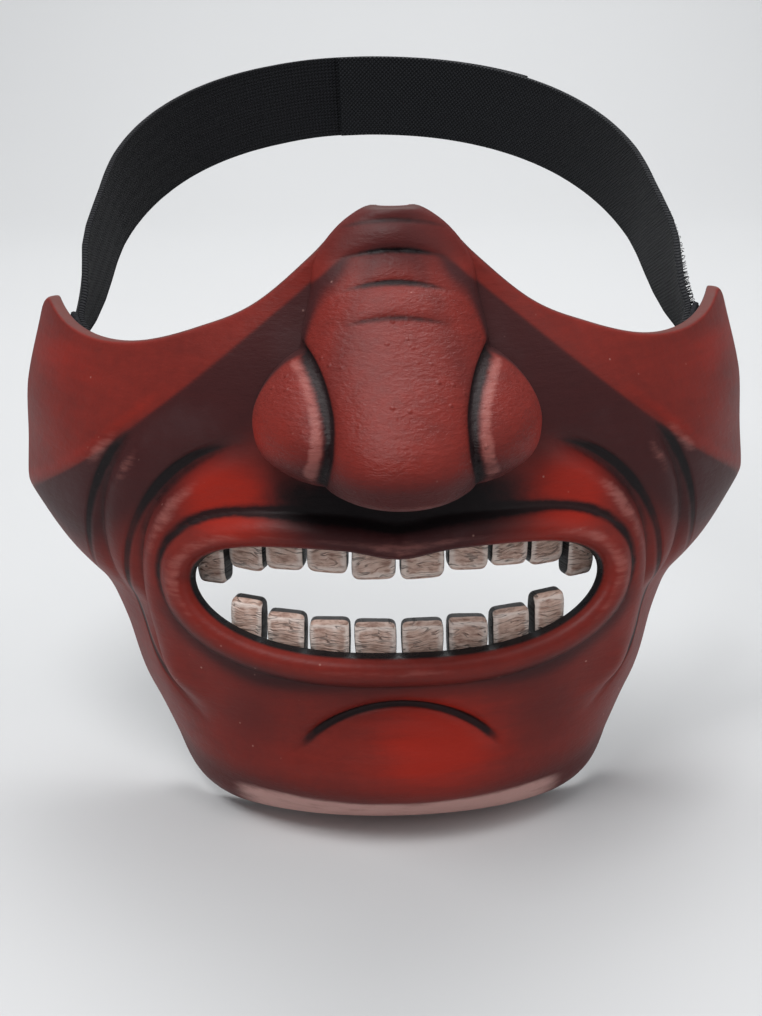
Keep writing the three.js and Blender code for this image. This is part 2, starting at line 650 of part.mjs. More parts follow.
function addStrap() {
  const stations = headStations();
  const half = stations.reduce(
    (sum, station, i) => sum + (i ? station.place.distanceTo(stations[i - 1].place) / 2 : 0),
    0,
  );
  const lifted = STRAP.thickness + GAP;
  const rampEnd = OVERLAP.start - OVERLAP.clear;
  const overlap = (d) => lifted * smoothstep(d, rampEnd - OVERLAP.ramp, rampEnd);
  const loop = stretch(stations, -half, OVERLAP.end, overlap);
  const hook = stretch(stations, OVERLAP.start, half, () => 0);
  add('strap_loop', band(loop, STRAP.width, STRAP.thickness), webbing);
  add('strap_hook', band(hook, STRAP.width, STRAP.thickness), hooks);
  const patch = cheekStations(GAP + PATCH.thickness / 2, PATCH.from, PATCH.to);
  add('strap_patch_right', band(patch, PATCH.height, PATCH.thickness), webbing);
  add('strap_patch_left', band(patch.map(mirrored).reverse(), PATCH.height, PATCH.thickness), webbing);
}

add('face_shell', faceShell(), resin);
addTeeth(UPPER_TEETH, 'tooth_upper');
addTeeth(LOWER_TEETH, 'tooth_lower');
addStrap();

export default guard;
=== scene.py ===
"""Looks of a samurai face guard: a half mask cast in resin and painted red, its teeth, and the
hook-and-loop strap that holds it on the head. The sizes of the casting repeat the CAD part's.
They are in millimetres in the tables and in metres in the finished meshes."""

import itertools
import math

import bpy
import numpy as np
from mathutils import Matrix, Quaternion, Vector


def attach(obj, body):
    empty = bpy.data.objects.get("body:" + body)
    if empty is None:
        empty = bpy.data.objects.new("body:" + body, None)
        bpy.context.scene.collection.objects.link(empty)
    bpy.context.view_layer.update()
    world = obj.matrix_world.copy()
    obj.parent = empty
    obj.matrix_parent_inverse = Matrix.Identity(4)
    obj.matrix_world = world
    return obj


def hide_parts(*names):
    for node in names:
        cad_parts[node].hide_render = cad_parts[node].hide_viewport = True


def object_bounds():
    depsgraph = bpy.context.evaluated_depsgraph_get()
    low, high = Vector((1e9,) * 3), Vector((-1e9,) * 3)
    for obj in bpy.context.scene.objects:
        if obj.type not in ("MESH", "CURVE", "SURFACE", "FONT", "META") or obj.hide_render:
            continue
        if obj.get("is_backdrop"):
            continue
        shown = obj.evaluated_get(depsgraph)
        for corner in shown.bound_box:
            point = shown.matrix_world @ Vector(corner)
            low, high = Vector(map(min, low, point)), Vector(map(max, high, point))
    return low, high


bl_info = {
    "name": "Samurai Face Guard",
    "version": (1, 0, 0),
    "blender": (4, 5, 0),
    "location": "3D View > Sidebar > Face Guard",
    "description": "Builds the painted casting, the teeth, the head strap and the studio",
    "category": "Object",
}

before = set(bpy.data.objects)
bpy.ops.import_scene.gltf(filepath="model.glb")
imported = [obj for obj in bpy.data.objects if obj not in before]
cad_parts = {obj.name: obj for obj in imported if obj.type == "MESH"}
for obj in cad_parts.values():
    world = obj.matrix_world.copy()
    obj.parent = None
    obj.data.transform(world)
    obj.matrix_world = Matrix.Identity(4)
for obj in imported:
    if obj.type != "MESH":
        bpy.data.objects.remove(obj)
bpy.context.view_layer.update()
MM = 0.001

# The casting, in millimetres. These tables repeat the CAD part's.
WALL = 3.0
GAP = 0.3
FACET_ROOM = 0.35
SWEEP = 0.96

# Level sections from the chin up: z, frontY, edgeX, edgeY, squareness
FACE_LEVELS = np.array([
    (-134, -7, 47, 10, 2.9),
    (-129, -15, 51, 12, 2.9),
    (-121, -19, 55, 16, 2.8),
    (-107, -19, 63.5, 23, 2.7),
    (-93, -21, 76, 31, 2.6),
    (-80, -22.5, 86.5, 40, 2.5),
    (-68, -21, 92.5, 47, 2.35),
    (-55, -17, 96.5, 50, 2.2),
    (-40, -12, 100.5, 50, 2.1),
    (-22, -6, 101, 49, 2),
    (-5, 0.5, 100, 48, 2),
    (10, 4, 98, 47, 2),
])

# Height of the top edge: share of the way across, z
TOP_EDGE = np.array([
    (0, 9.5), (0.1, 7.5), (0.18, 0), (0.3, -9.5),
    (0.45, -15.5), (0.65, -20.5), (0.85, -20.5), (1, -17),
])
CHIN_Z = -134
CHIN_CORNER = {"across": 0.78, "rise": 11}
WING_CORNER = {"across": 0.955, "drop": 5}

CHEEKBONE = {"x": 34, "z": -18, "fall": 0.8, "rounding": 1.3}
CHEEK_UPPER = {"slope": 0.38, "fade_x": (16, 40)}
CHEEK_LOWER = {"slope": 0.26, "fade_x": (50, 70), "fade_z": (-110, -85)}
CHEEK_HOLLOW = {"at": (47, -48), "size": (15, 13), "depth": 3}

MOUTH = {
    "half_width": 47, "half_height": 12.5, "z": -74, "corner_lift": 4,
    "bow": 1.8, "bow_half_width": 8, "squareness": 3.6,
}
LIP = {"crest": 2.8, "reach": 4.4, "height": 2.6, "bulge": 2.4, "fullness": 0.6}

# Folds: x, z, radius, from, to (degrees), depth, width, roll
SMILE_FOLDS = [
    (26, -76, 37, -50, 72, 1.5, 2.5, 1.6),
    (26, -72, 47, -12, 42, 1.2, 2.4, 1.2),
]
CHIN_FOLD = (0, -128, 29, 42, 138, 1.2, 2.2, 0)
FOLD_FADE = 14
FOLD_ROLL = {"offset": 2, "width": 1.6}
FOLD_CLEAR = (4, 9)
FOLD_LINE = {"depth": 0.7, "width": 1.0}
CHIN_BOSS = {"at": (0, -117), "size": (27, 10), "height": 5.5}

# Sections of the nose: z, halfWidth, frontY
NOSE_LEVELS = np.array([
    (-47, 9, -31), (-44.5, 16, -40.5), (-40, 21, -45), (-34, 22, -44.5),
    (-26, 21.5, -36.5), (-17, 20.5, -24), (-8, 18.5, -11.8), (-2, 17.5, -4.6),
    (3, 14.5, -1.6), (7, 10.5, 0), (10, 6, 0.8),
])
NOSE_SQUARENESS = 2.12
NOSE_HOLLOW = {"floor": -38, "top": 18}
HOLLOW_BACK = 60
CREASE_FADE = {"z": (-45, -38), "turn": (78, 92)}
NOSE_TOP_ROUND = 0.8
# How finely the nose and its hollow are cut: steps round the front, steps across the back
NOSE_STEPS = (150, 20)
HOLLOW_STEPS = (60, 8)
# Levels of the nose, closer where it turns: from, to, count
NOSE_CUTS = [(-47, -44, 9), (-44, -12, 62), (-12, 8.5, 54), (8.5, 10, 7)]
HOLLOW_CUTS = 40
NOSTRIL_STEPS = (24, 40)
NOSTRIL_DARK = 0.9
HOLLOW_EDGES = {"across": 24, "low": -42, "high": 9, "depth": 0.3}
WING = {"turn": 76, "spread": 46, "z": -33, "up": 14, "height": 9.5, "fullness": 0.85}
WING_CREASE = {"at": 1.03, "width": 0.085, "depth": 1.3}
NOSTRIL = {"x": 9.5, "y": -30, "z": -48, "radii": (4.5, 8, 4.5), "toe_in": 14}
FROWN = {"z": -1.5, "pitch": 6, "reach": 1.5, "height": 1.5, "droop": 0.014, "half_width": 13}
FROWN_FULLNESS = 2.5

# The strap's path, as in the CAD part
STRAP = {"width": 25, "thickness": 1.8, "start_z": -38.5, "rise": 0.38, "clearance": 0.45}
STRAP_SEAT = (0.84, 0.965)
HEAD = {"half_width": 77, "side_y": 94, "back_y": 190, "back_z": 18}
TEMPLE = (79.2, 68)
OVERLAP = {"start": -10, "end": 52, "ramp": 22, "clear": 2}
PATCH = {"height": 27, "thickness": 1.6}
PATCH_SEAT = (0.835, 0.955)
STRAP_STEP = 9
HEAD_TURNS = 6
TURN_BLEND = 4
SEAT_STATIONS = 6
SEAT_SAMPLES = (-1, -0.7, -0.35, 0.35, 0.7, 1)
SEAT_REACH = 0.02
STRAP_SMOOTHING = 6
WEBBING = {"steps": 36, "selvedge": 0.05}
NAP = {"steps": 24, "selvedge": 0.03, "stations": 24}
BAND = {"thin": 0.12, "round": 0.04, "least": 0.3, "sharp_above": 50}

# A hook on the tape: run and rise over its height, and its radius from base to tip
HOOK_PATH = np.array([(0, -0.15), (0.02, 0.5), (0.12, 0.85), (0.34, 1.0), (0.55, 0.82)])
HOOK_RADIUS = {"base": 0.11, "loss": 0.012}
HOOK_ANGLES = (0, 2.1, 4.2)
HOOK_FIELD = {"margin": 1.6, "clear": 3, "end": 2, "seat": 0.44, "jitter": 0.2, "sway": 0.5}

# A tooth's cut, in shares of its half sizes: how square its block is, at the root and the tip,
# how far it wanders, and how its sides, face and tip draw in
TOOTH = {
    "steps": 16, "square": 14, "tip_rounding": 7, "wander": 0.05, "width": 0.99, "taper": 0.06,
    "crown": 0.14, "thin_tip": 0.08, "cut": 0.012, "stroke_angle": 0.22, "stroke_shift": 60,
}
# Low and high ends of the cuts' waves: up the tooth, across it, phase
TOOTH_WAVES = ((9, -2, 0), (24, 2, 6))
TOOTH_ROWS = (("tooth_upper", 10, 1), ("tooth_lower", 8, -1))

# Patches of paint and of painted shade on the casting: across, z, reach across, reach up, strength.
# Those of the cheeks lie on both sides, and those of the nose go by degrees round it.
BRIGHT_CHEEKS = [(38, -52, 12, 9, 1), (80, -30, 14, 7, 0.5)]
BRIGHT_CHIN = [(9, -108, 17, 13, 0.9)]
BRIGHT_NOSE = [(70, -36, 16, 6, 0.7), (28, -38, 30, 6, 0.4)]
BRIGHT_RIDGE = {"at": 1.6, "width": 1.8, "from_x": (40, 60), "strength": 0.35}
# Dark patches: partly the paint's wash, partly painted shade. The black under the nose is painted
# shadow.
DARK_CHEEKS = [(34, -104, 11, 15, 0.4), (78, -66, 13, 16, 0.55), (0, -58.5, 24, 5.5, 1.1)]
DARK_LIP = [(0, -50, 30, 6, 1.3)]
DARK_NOSE = [(34, -20, 12, 22, 0.35)]
UNDER_NOSE = [(0, -51, 30, 6, 1.2)]
BELOW_RIDGE = {"at": -8, "width": 16, "strength": 0.95}
ROUND_MOUTH = {"at": 7.5, "width": 3.5, "from_depth": (70, 80), "strength": 0.6}
DARK_DEPTHS = {"chin": (114, 124), "nose": (30, 41), "bridge": (-9, 3), "bridge_width": 22}
# Painted reflection along the chin's lower edge: its depths below the top, and its ends across.
CHIN_REFLECTION_BAND = {"depth": (120.6, 123.8), "end_x": (30, 47)}
# Hollows found by smoothing take painted shade; ridges take rubbed paint and painted highlights.
CREVICES = {"passes": 5, "groove": (0.05, 0.3), "ridge": (0.05, 0.22), "softening": 3}
LEAST_FACING = 0.2

# The studio, in metres: lights with place, target, size and power
MASK_MIDDLE = (0, 0, -0.05)
LIGHTS = {
    "key": ((-0.22, -0.28, 0.72), MASK_MIDDLE, 0.42, 5.0),
    "fill": ((0.5, -0.35, 0.45), MASK_MIDDLE, 0.6, 1.0),
    "back": ((0.0, 0.55, 0.95), MASK_MIDDLE, 0.8, 4.5),
    "backdrop": ((0.1, 0.75, 1.1), (0.15, 1.3, 0.0), 0.7, 9.0),
}
WORLD = {"Color": (0.95, 0.97, 1, 1), "Strength": 0.34}
FLOOR = {"clear": 0.0005, "half_width": 3.5, "front": -8.0, "bend_y": 0.9, "bend": 0.5, "top": 2.5}
# The camera: what it looks at, its sensor in mm, and in pixels the picture's longer side, its
# distance and how far its middle is shifted
CAMERA = {"target": (0, 0.014, -0.0635), "sensor": 36, "picture": 1016, "focal": 1500, "shift": -12}


# Tables and curves

def bell(x):
    return np.exp(-np.square(x))


def ramp(x, low, high):
    t = np.clip((x - low) / (high - low), 0, 1)
    return t * t * (3 - 2 * t)


def spot(x, z, at, size):
    """A soft round patch, 1 at its middle."""
    return bell((x - at[0]) / size[0]) * bell((z - at[1]) / size[1])


def along(table, place):
    """The other columns of a table, on smooth curves, at places in its first column."""
    key, value = table[:, 0].astype(float), table[:, 1:].astype(float)
    span = np.diff(key)
    slope = np.diff(value, axis=0) / span[:, None]
    before, after = span[:-1, None], span[1:, None]
    inner = (slope[:-1] * after + slope[1:] * before) / (before + after)
    tangent = np.vstack([slope[:1], inner, slope[-1:]])
    place = np.asarray(place, float)
    i = np.clip(np.searchsorted(key, place) - 1, 0, len(span) - 1)
    t = np.clip((place - key[i]) / span[i], 0, 1)[..., None]
    pull = tangent[i] * t * (1 - t) ** 2 - tangent[i + 1] * (1 - t) * t**2
    return (
        value[i] * (1 + 2 * t) * (1 - t) ** 2
        + value[i + 1] * (3 - 2 * t) * t**2
        + span[i][..., None] * pull
    )


def lengths(points):
    """Distance run along a line of points, up to each of them."""
    steps = np.linalg.norm(np.diff(points, axis=0), axis=-1)
    return np.concatenate([[0], np.cumsum(steps)])


def resampled(values, run, at):
    """Rows of values that are known along a run, at other places on it."""
    return np.stack([np.interp(at, run, column) for column in values.T], -1)


def unit(v):
    return v / np.linalg.norm(v, axis=-1, keepdims=True)


# Surface of the casting

def mouth_middle(x):
    return MOUTH["z"] + MOUTH["corner_lift"] * (x / MOUTH["half_width"]) ** 2


def mouth_outline(count):
    angle = 2 * np.pi * np.arange(count) / count
    cos, sin = np.cos(angle), np.sin(angle)
    x = MOUTH["half_width"] * np.sign(cos) * np.abs(cos) ** (2 / MOUTH["squareness"])
    dip = np.where(sin > 1e-9, MOUTH["bow"] * bell(x / MOUTH["bow_half_width"]), 0)
    return np.stack([x, mouth_middle(x) + MOUTH["half_height"] * sin - dip], -1)


MOUTH_LINE = mouth_outline(360)


def from_mouth(x, z):
    """Distance from the mouth's edge, negative inside the opening."""
    nearest = np.full(np.shape(x), np.inf)
    inside = np.zeros(np.shape(x), bool)
    for a, b in zip(MOUTH_LINE, np.roll(MOUTH_LINE, -1, axis=0)):
        ex, ez = b - a
        t = np.clip(((x - a[0]) * ex + (z - a[1]) * ez) / (ex * ex + ez * ez), 0, 1)
        nearest = np.minimum(nearest, np.hypot(x - a[0] - t * ex, z - a[1] - t * ez))
        if ez:
            spans = (a[1] > z) != (b[1] > z)
            inside ^= spans & (x < a[0] + (z - a[1]) / ez * ex)
    return np.where(inside, -nearest, nearest)


def plain_face(across, z):
    front, edge_x, edge_y, square = np.moveaxis(along(FACE_LEVELS, z), -1, 0)

    def turn(share):
        return 1 - np.sqrt(1 - (SWEEP * np.abs(share)) ** square)

    y = front + (edge_y - front) * turn(across) / turn(1)
    return np.stack([edge_x * across, y, z + 0 * across], -1)


def above_ridge(out, z):
    """Distance above the cheekbone's line, which runs down and out from the nose."""
    fall = CHEEKBONE["fall"]
    return (z - CHEEKBONE["z"] + fall * (out - CHEEKBONE["x"])) / math.hypot(1, fall)


def broad_form(x, z):
    """Large forms that both sides of the wall share."""
    out = np.abs(x)
    above = above_ridge(out, z)

    def beyond(distance):
        return (np.hypot(distance, CHEEKBONE["rounding"]) + distance) / 2

    upper = CHEEK_UPPER["slope"] * beyond(above) * ramp(out, *CHEEK_UPPER["fade_x"])
    sink = CHEEK_LOWER["slope"] * ramp(out, *CHEEK_LOWER["fade_x"])
    lower = sink * beyond(-above) * ramp(z, *CHEEK_LOWER["fade_z"])
    hollow = CHEEK_HOLLOW["depth"] * spot(out, z, CHEEK_HOLLOW["at"], CHEEK_HOLLOW["size"])
    return -upper - lower - hollow


def fold(x, z, arc):
    """A fold's groove, with a thin line along its bottom and a roll beside it."""
    arc_x, arc_z, radius, start, end, depth, width, roll = arc
    offset = (np.hypot(x - arc_x, z - arc_z) - radius) / width
    angle = np.degrees(np.arctan2(z - arc_z, x - arc_x))
    there = ramp(angle, start - FOLD_FADE, start + FOLD_FADE)
    there = there * (1 - ramp(angle, end - FOLD_FADE, end + FOLD_FADE))
    raised = roll * bell((offset + FOLD_ROLL["offset"]) / FOLD_ROLL["width"])
    line = FOLD_LINE["depth"] * bell(offset * width / FOLD_LINE["width"])
    return there * (raised - depth * bell(offset) - line)


def lip_height(m):
    """Profile of a lip against the distance from the mouth's edge."""
    outer = 1 - ((m - LIP["crest"]) / LIP["reach"]) ** 2
    in_share = np.clip((LIP["crest"] - m) / LIP["crest"], 0, 1)
    inner = (1 - in_share ** LIP["bulge"]) ** LIP["fullness"]
    return LIP["height"] * np.where(m < LIP["crest"], inner, np.maximum(outer, 0))


def relief(x, z):
    """Raised and sunk detail, on the outside only."""
    m = from_mouth(x, z)
    boss = CHIN_BOSS["height"] * spot(x, z, CHIN_BOSS["at"], CHIN_BOSS["size"])
    folds = sum(fold(np.abs(x), z, arc) for arc in SMILE_FOLDS) + fold(x, z, CHIN_FOLD)
    return lip_height(m) + boss + ramp(m, *FOLD_CLEAR) * folds


def face_frame(across, z):
    """A point of the plain face, and the way out from it."""
    h = 1e-3
    sideways = plain_face(across + h, z) - plain_face(across - h, z)
    upward = plain_face(across, z + h) - plain_face(across, z - h)
    return plain_face(across, z), unit(np.cross(sideways, upward))


def face_inside(across, z):
    p, outward = face_frame(across, z)
    return p + outward * (broad_form(p[..., 0], p[..., 2]) - WALL)[..., None]


def corner_turn(across, start):
    turn = np.clip((across - start) / (1 - start), 0, 1)
    return 1 - np.sqrt(1 - turn**2)


def top_height(across):
    drop = WING_CORNER["drop"] * corner_turn(across, WING_CORNER["across"])
    return along(TOP_EDGE, across)[..., 0] - drop


def bottom_height(across):
    return CHIN_Z + CHIN_CORNER["rise"] * corner_turn(across, CHIN_CORNER["across"])


# Meshes

def new_mesh(name, points, faces, **attributes):
    """A mesh from points in millimetres, with its attributes."""
    mesh = bpy.data.meshes.new(name)
    mesh.from_pydata(points.reshape(-1, 3) * MM, [], faces)
    mesh.update()
    set_attributes(mesh, **attributes)
    return mesh


def set_attributes(mesh, **attributes):
    """Gives every vertex its number in each attribute, or one number for all."""
    for name, values in attributes.items():
        attribute = mesh.attributes.new(name, "FLOAT", "POINT")
        row = np.broadcast_to(np.ravel(values), len(mesh.vertices))
        attribute.data.foreach_set("value", row.astype(np.float32))


def read(data, name, width=1, kind=np.float32):
    """A property of all vertices, edges or values of a mesh, one row for each."""
    values = np.empty(width * len(data), kind)
    data.foreach_get(name, values)
    return values.reshape(-1, width)


def new_object(name, mesh):
    piece = bpy.data.objects.new(name, mesh)
    bpy.context.scene.collection.objects.link(piece)
    return piece


def shade_smooth(mesh, sharp_above=None):
    mesh.polygons.foreach_set("use_smooth", np.ones(len(mesh.polygons), bool))
    if sharp_above is not None:
        mesh.set_sharp_from_angle(angle=math.radians(sharp_above))


def places_of(mesh):
    """Its vertices, in millimetres."""
    return read(mesh.vertices, "co", 3).astype(float) / MM


def ring_faces(rings, sides, closed=False):
    """Quads between rings of points, each ring closed on itself."""
    last = rings if closed else rings - 1
    i, j = np.meshgrid(np.arange(last), np.arange(sides), indexing="ij")
    k, n = (i + 1) % rings, (j + 1) % sides
    quads = np.stack([i * sides + j, i * sides + n, k * sides + n, k * sides + j], -1)
    return quads.reshape(-1, 4).tolist()


def capped_faces(rings, sides):
    ends = [list(range(sides))[::-1], [(rings - 1) * sides + j for j in range(sides)]]
    return ring_faces(rings, sides) + ends


def combine(piece, tool, operation):
    """Joins a second body to a piece, or cuts it out, and removes it."""
    modifier = piece.modifiers.new(operation, "BOOLEAN")
    modifier.operation = operation
    modifier.solver = "MANIFOLD"
    modifier.object = tool
    graph = bpy.context.evaluated_depsgraph_get()
    mesh = bpy.data.meshes.new_from_object(piece.evaluated_get(graph))
    piece.modifiers.clear()
    piece.data = mesh
    bpy.data.objects.remove(tool)


def finish_piece(piece, name, replaced, material):
    piece.name = name
    piece.data.name = name
    piece.data.materials.clear()
    piece.data.materials.append(material)
    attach(piece, "root")
    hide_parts(*replaced)
    return piece


# Shell

RIM_SPLIT_Z = -62  # where the rim's upper and lower halves meet, level with the mouth's corners
EDGE_ROWS = np.array([0, 0.12, 0.3, 0.55, 0.9, 1.35, 1.9, 2.5])
RIM_ROUND = 1.5
SHELL_SHARP_ABOVE = 55
LEAST_SHELL_FACES = 10000
EDGE_BOW = {"rim": 0.25, "mouth": 0.2}
WORN_RIM = (0.1, 1.3)
RIM_POINTS = {"level": 300, "side": 200}
MOUTH_QUARTER = 360


def rim_half():
    """The casting's edge on the +X side, from the middle of the chin up and round to the top."""
    share = np.sin(np.linspace(0, np.pi / 2, RIM_POINTS["level"]))
    side_z = np.linspace(bottom_height(1.0), top_height(1.0), RIM_POINTS["side"])[1:-1]
    across = np.concatenate([share, np.ones(len(side_z)), share[::-1]])
    z = np.concatenate([bottom_height(share), side_z, top_height(share[::-1])])
    return across, z


def spread(points, at, values):
    """Values that are known along a line of points, at shares of its length."""
    run = lengths(points)
    return resampled(values, run, at * run[-1]).T


def shell_columns(upper, lower):
    """Ends of the shell's columns, at the mouth and at the rim, right round the mouth."""
    across, z = rim_half()
    rim = plain_face(across, z)
    split = np.argmin(np.abs(z - RIM_SPLIT_Z) + 1000 * (across < 1))
    mouth = mouth_outline(4 * MOUTH_QUARTER)
    over = mouth[:MOUTH_QUARTER + 1]
    under = np.vstack([mouth[3 * MOUTH_QUARTER:], mouth[:1]])[::-1]
    ends = []
    for count, line, part in (
        (upper, over, slice(split, None)), (lower, under, slice(split, None, -1)),
    ):
        at = np.linspace(0, 1, count + 1)
        mouth_x, mouth_z = spread(line, at, line)
        rim_across, rim_z = spread(rim[part], at, np.stack([across, z], -1)[part])
        mouth_across = mouth_x / along(FACE_LEVELS, mouth_z)[:, 1]
        ends.append(np.stack([mouth_across, mouth_z, rim_across, rim_z], -1))
    up, down = ends
    right = np.vstack([down[::-1], up[1:]])
    right[0, [0, 2]] = right[-1, [0, 2]] = 0
    left = right[1:-1][::-1] * [-1, 1, -1, 1]
    return np.vstack([right, left])


def rounded_off(distance):
    """How far a rounded edge sinks, at a distance from it."""
    return RIM_ROUND - np.sqrt(RIM_ROUND**2 - np.clip(RIM_ROUND - distance, 0, RIM_ROUND) ** 2)


def edge_bridge(a, b, bow, count=3):
    """Points across the thickness of an edge, from a to b, bowed out a little."""
    share = np.linspace(0, 1, count + 2)[1:-1][None, :, None]
    return a[:, None] + (b - a)[:, None] * share + bow[:, None] * (4 * share * (1 - share))


def wall_mesh(columns, rows):
    """The closed wall, as one loft round the mouth."""
    ends = shell_columns(*columns)
    turns, levels = np.arcsin(SWEEP * ends[:, ::2]), ends[:, 1::2]

    def between(share):
        """Places across and up, at shares of the way from the mouth to the rim."""
        turn, z = (e[:, :1] + (e[:, 1:] - e[:, :1]) * share for e in (turns, levels))
        return np.sin(turn) / SWEEP, z

    t = np.linspace(0, 1, 400)
    plain = plain_face(*between(t[None]))
    runs = np.array([lengths(column) for column in plain])
    middle = np.linspace(0, 1, rows)[1:-1]

    def grid(edge, middle):
        total = runs[:, -1:]
        body = edge[-1] + (total - 2 * edge[-1]) * middle
        at = np.hstack([edge + 0 * total, body, total - edge[::-1]])
        share = np.array([np.interp(a, run, t) for a, run in zip(at, runs)])
        return *between(share), total - at

    across, z, to_rim = grid(EDGE_ROWS, middle)
    p, outward = face_frame(across, z)
    push = broad_form(p[..., 0], z) + relief(p[..., 0], z)
    outer = p + outward * (push - rounded_off(to_rim))[..., None]
    across, z, _ = grid(EDGE_ROWS[::2], middle[::3])
    inner = face_inside(across, z)[:, ::-1]
    rim_out = unit(outer[:, -1] - outer[:, -4]) * EDGE_BOW["rim"]
    mouth_out = unit(outer[:, 0] - outer[:, 3]) * EDGE_BOW["mouth"]
    rim = edge_bridge(outer[:, -1], inner[:, 0], rim_out)
    mouth = edge_bridge(inner[:, -1], outer[:, 0], mouth_out)
    loop = np.hstack([outer, rim, inner, mouth])
    worn = np.hstack([1 - ramp(to_rim, *WORN_RIM), 1 + 0 * rim[..., 0], 0 * inner[..., 0],
                      0 * mouth[..., 0]])
    inside = np.arange(loop.shape[1]) >= outer.shape[1] + rim.shape[1]
    faces = ring_faces(*loop.shape[:2], closed=True)
    return new_mesh("wall", loop, faces, inside=np.tile(inside, len(loop)), worn=worn)


def wall_middle(x, z):
    across = np.clip(x / along(FACE_LEVELS, z)[..., 1], -1, 1)
    return plain_face(across, z)[..., 1] - broad_form(x, z) + WALL / 2


def frown_place(x, z):
    """How far up the rolls across the bridge a place lies, in rolls from their middle one."""
    return (z - FROWN["z"] + FROWN["droop"] * x * x) / FROWN["pitch"]


def frown(x, z):
    place = frown_place(x, z)
    profile = 1 - np.abs(2 * (place - np.round(place))) ** FROWN_FULLNESS
    height = FROWN["height"] * profile * bell((x / FROWN["half_width"]) ** 2)
    return np.where(np.abs(place) > FROWN["reach"], 0, height)


def wing_place(turn, z):
    """How far a place on the nose is from the middle of the nostril wing, 1 at its border."""
    return np.hypot((np.abs(turn) - WING["turn"]) / WING["spread"], (z - WING["z"]) / WING["up"])


def nose_mesh(levels, steps, hollow):
    """The nose as a closed body with its back in the wall, or the hollow behind it."""
    front_steps, back_steps = steps
    inset = WALL if hollow else 0
    turn = np.linspace(-90, 90, front_steps + 1)[None]
    z = np.asarray(levels, float)[:, None] + 0 * turn
    sin, cos = np.sin(np.radians(turn)), np.cos(np.radians(turn))
    half_width, front_y = np.moveaxis(along(NOSE_LEVELS, z), -1, 0)
    axis_y = wall_middle(0 * z, z)
    power = NOSE_SQUARENESS
    across = np.abs(sin) / (half_width - inset)
    ahead = np.maximum(cos, 0) / (axis_y - front_y - inset)
    reach = (across**power + ahead**power) ** (-1 / power)
    top, wrinkle, worn = NOSE_LEVELS[-1, 0], 0, 0
    if not hollow:
        d = wing_place(turn, z)
        reach = reach + WING["height"] * np.maximum(0, 1 - d * d) ** WING["fullness"]
        crease = bell((d - WING_CREASE["at"]) / WING_CREASE["width"])
        faded = ramp(z, *CREASE_FADE["z"]) * (1 - ramp(np.abs(turn), *CREASE_FADE["turn"]))
        reach = reach - WING_CREASE["depth"] * crease * faded
        reach = reach - NOSE_TOP_ROUND * rounded_off(top - z)
        wrinkle = frown(reach * sin, z) * cos
        worn = ramp(top - levels, *WORN_RIM[::-1])
    x = reach * sin
    y = axis_y - reach * cos - wrinkle
    share = np.linspace(0, 1, back_steps + 1)[None]
    back_x = x[:, -1:] + (x[:, :1] - x[:, -1:]) * share
    back_z = z[:, :1] + 0 * share
    back_y = HOLLOW_BACK + 0 * back_x if hollow else wall_middle(back_x, back_z)
    ring = np.hstack([np.stack([x, y, z], -1), np.stack([back_x, back_y, back_z], -1)])
    worn = np.repeat(worn + 0 * z[:, 0], ring.shape[1])
    return new_mesh("nose", ring, capped_faces(*ring.shape[:2]), inside=hollow, worn=worn)


def nostril_mesh(side):
    rings, sides = NOSTRIL_STEPS
    u = np.linspace(0, 2 * np.pi, sides, endpoint=False)[None]
    v = np.linspace(0.02, np.pi - 0.02, rings)[:, None]
    ball = np.stack([np.sin(v) * np.cos(u), np.sin(v) * np.sin(u), -np.cos(v) + 0 * u], -1)
    x, y, z = np.moveaxis(ball * NOSTRIL["radii"], -1, 0)
    turn = side * math.radians(NOSTRIL["toe_in"])
    points = np.stack([
        x * math.cos(turn) - y * math.sin(turn) + side * NOSTRIL["x"],
        x * math.sin(turn) + y * math.cos(turn) + NOSTRIL["y"],
        z + NOSTRIL["z"],
    ], -1)
    return new_mesh("nostril", points, capped_faces(rings, sides), inside=NOSTRIL_DARK, worn=0)


def smoothed(values, pairs, times):
    """Values at vertices after each has been averaged with its neighbours a number of times."""
    count = len(values)
    degree = np.bincount(pairs.ravel(), minlength=count)[:, None]
    for _ in range(times):
        total = np.zeros_like(values)
        for a, b in ((0, 1), (1, 0)):
            for k in range(values.shape[1]):
                total[:, k] += np.bincount(pairs[:, a], values[pairs[:, b], k], minlength=count)
        values = (values + total) / (1 + degree)
    return values


def blacken_hollow(mesh):
    """Paints the edges of the hollow behind the nose like the rest of the inside."""
    x, y, z = places_of(mesh).T
    data = mesh.attributes["inside"].data
    behind = (np.abs(x) < HOLLOW_EDGES["across"]) & (z > HOLLOW_EDGES["low"])
    behind &= (z < HOLLOW_EDGES["high"]) & (y > wall_middle(x, z) + HOLLOW_EDGES["depth"])
    data.foreach_set("value", np.where(behind, 1, read(data, "value")[:, 0]))


def turned(x, y, z):
    """Degrees round the nose from its front."""
    return np.degrees(np.arctan2(np.abs(x), np.maximum(wall_middle(0 * z, z) - y, 1e-3)))


def painted(across, z, table):
    return sum(much * spot(across, z, (x, up), (w, h)) for x, up, w, h, much in table)


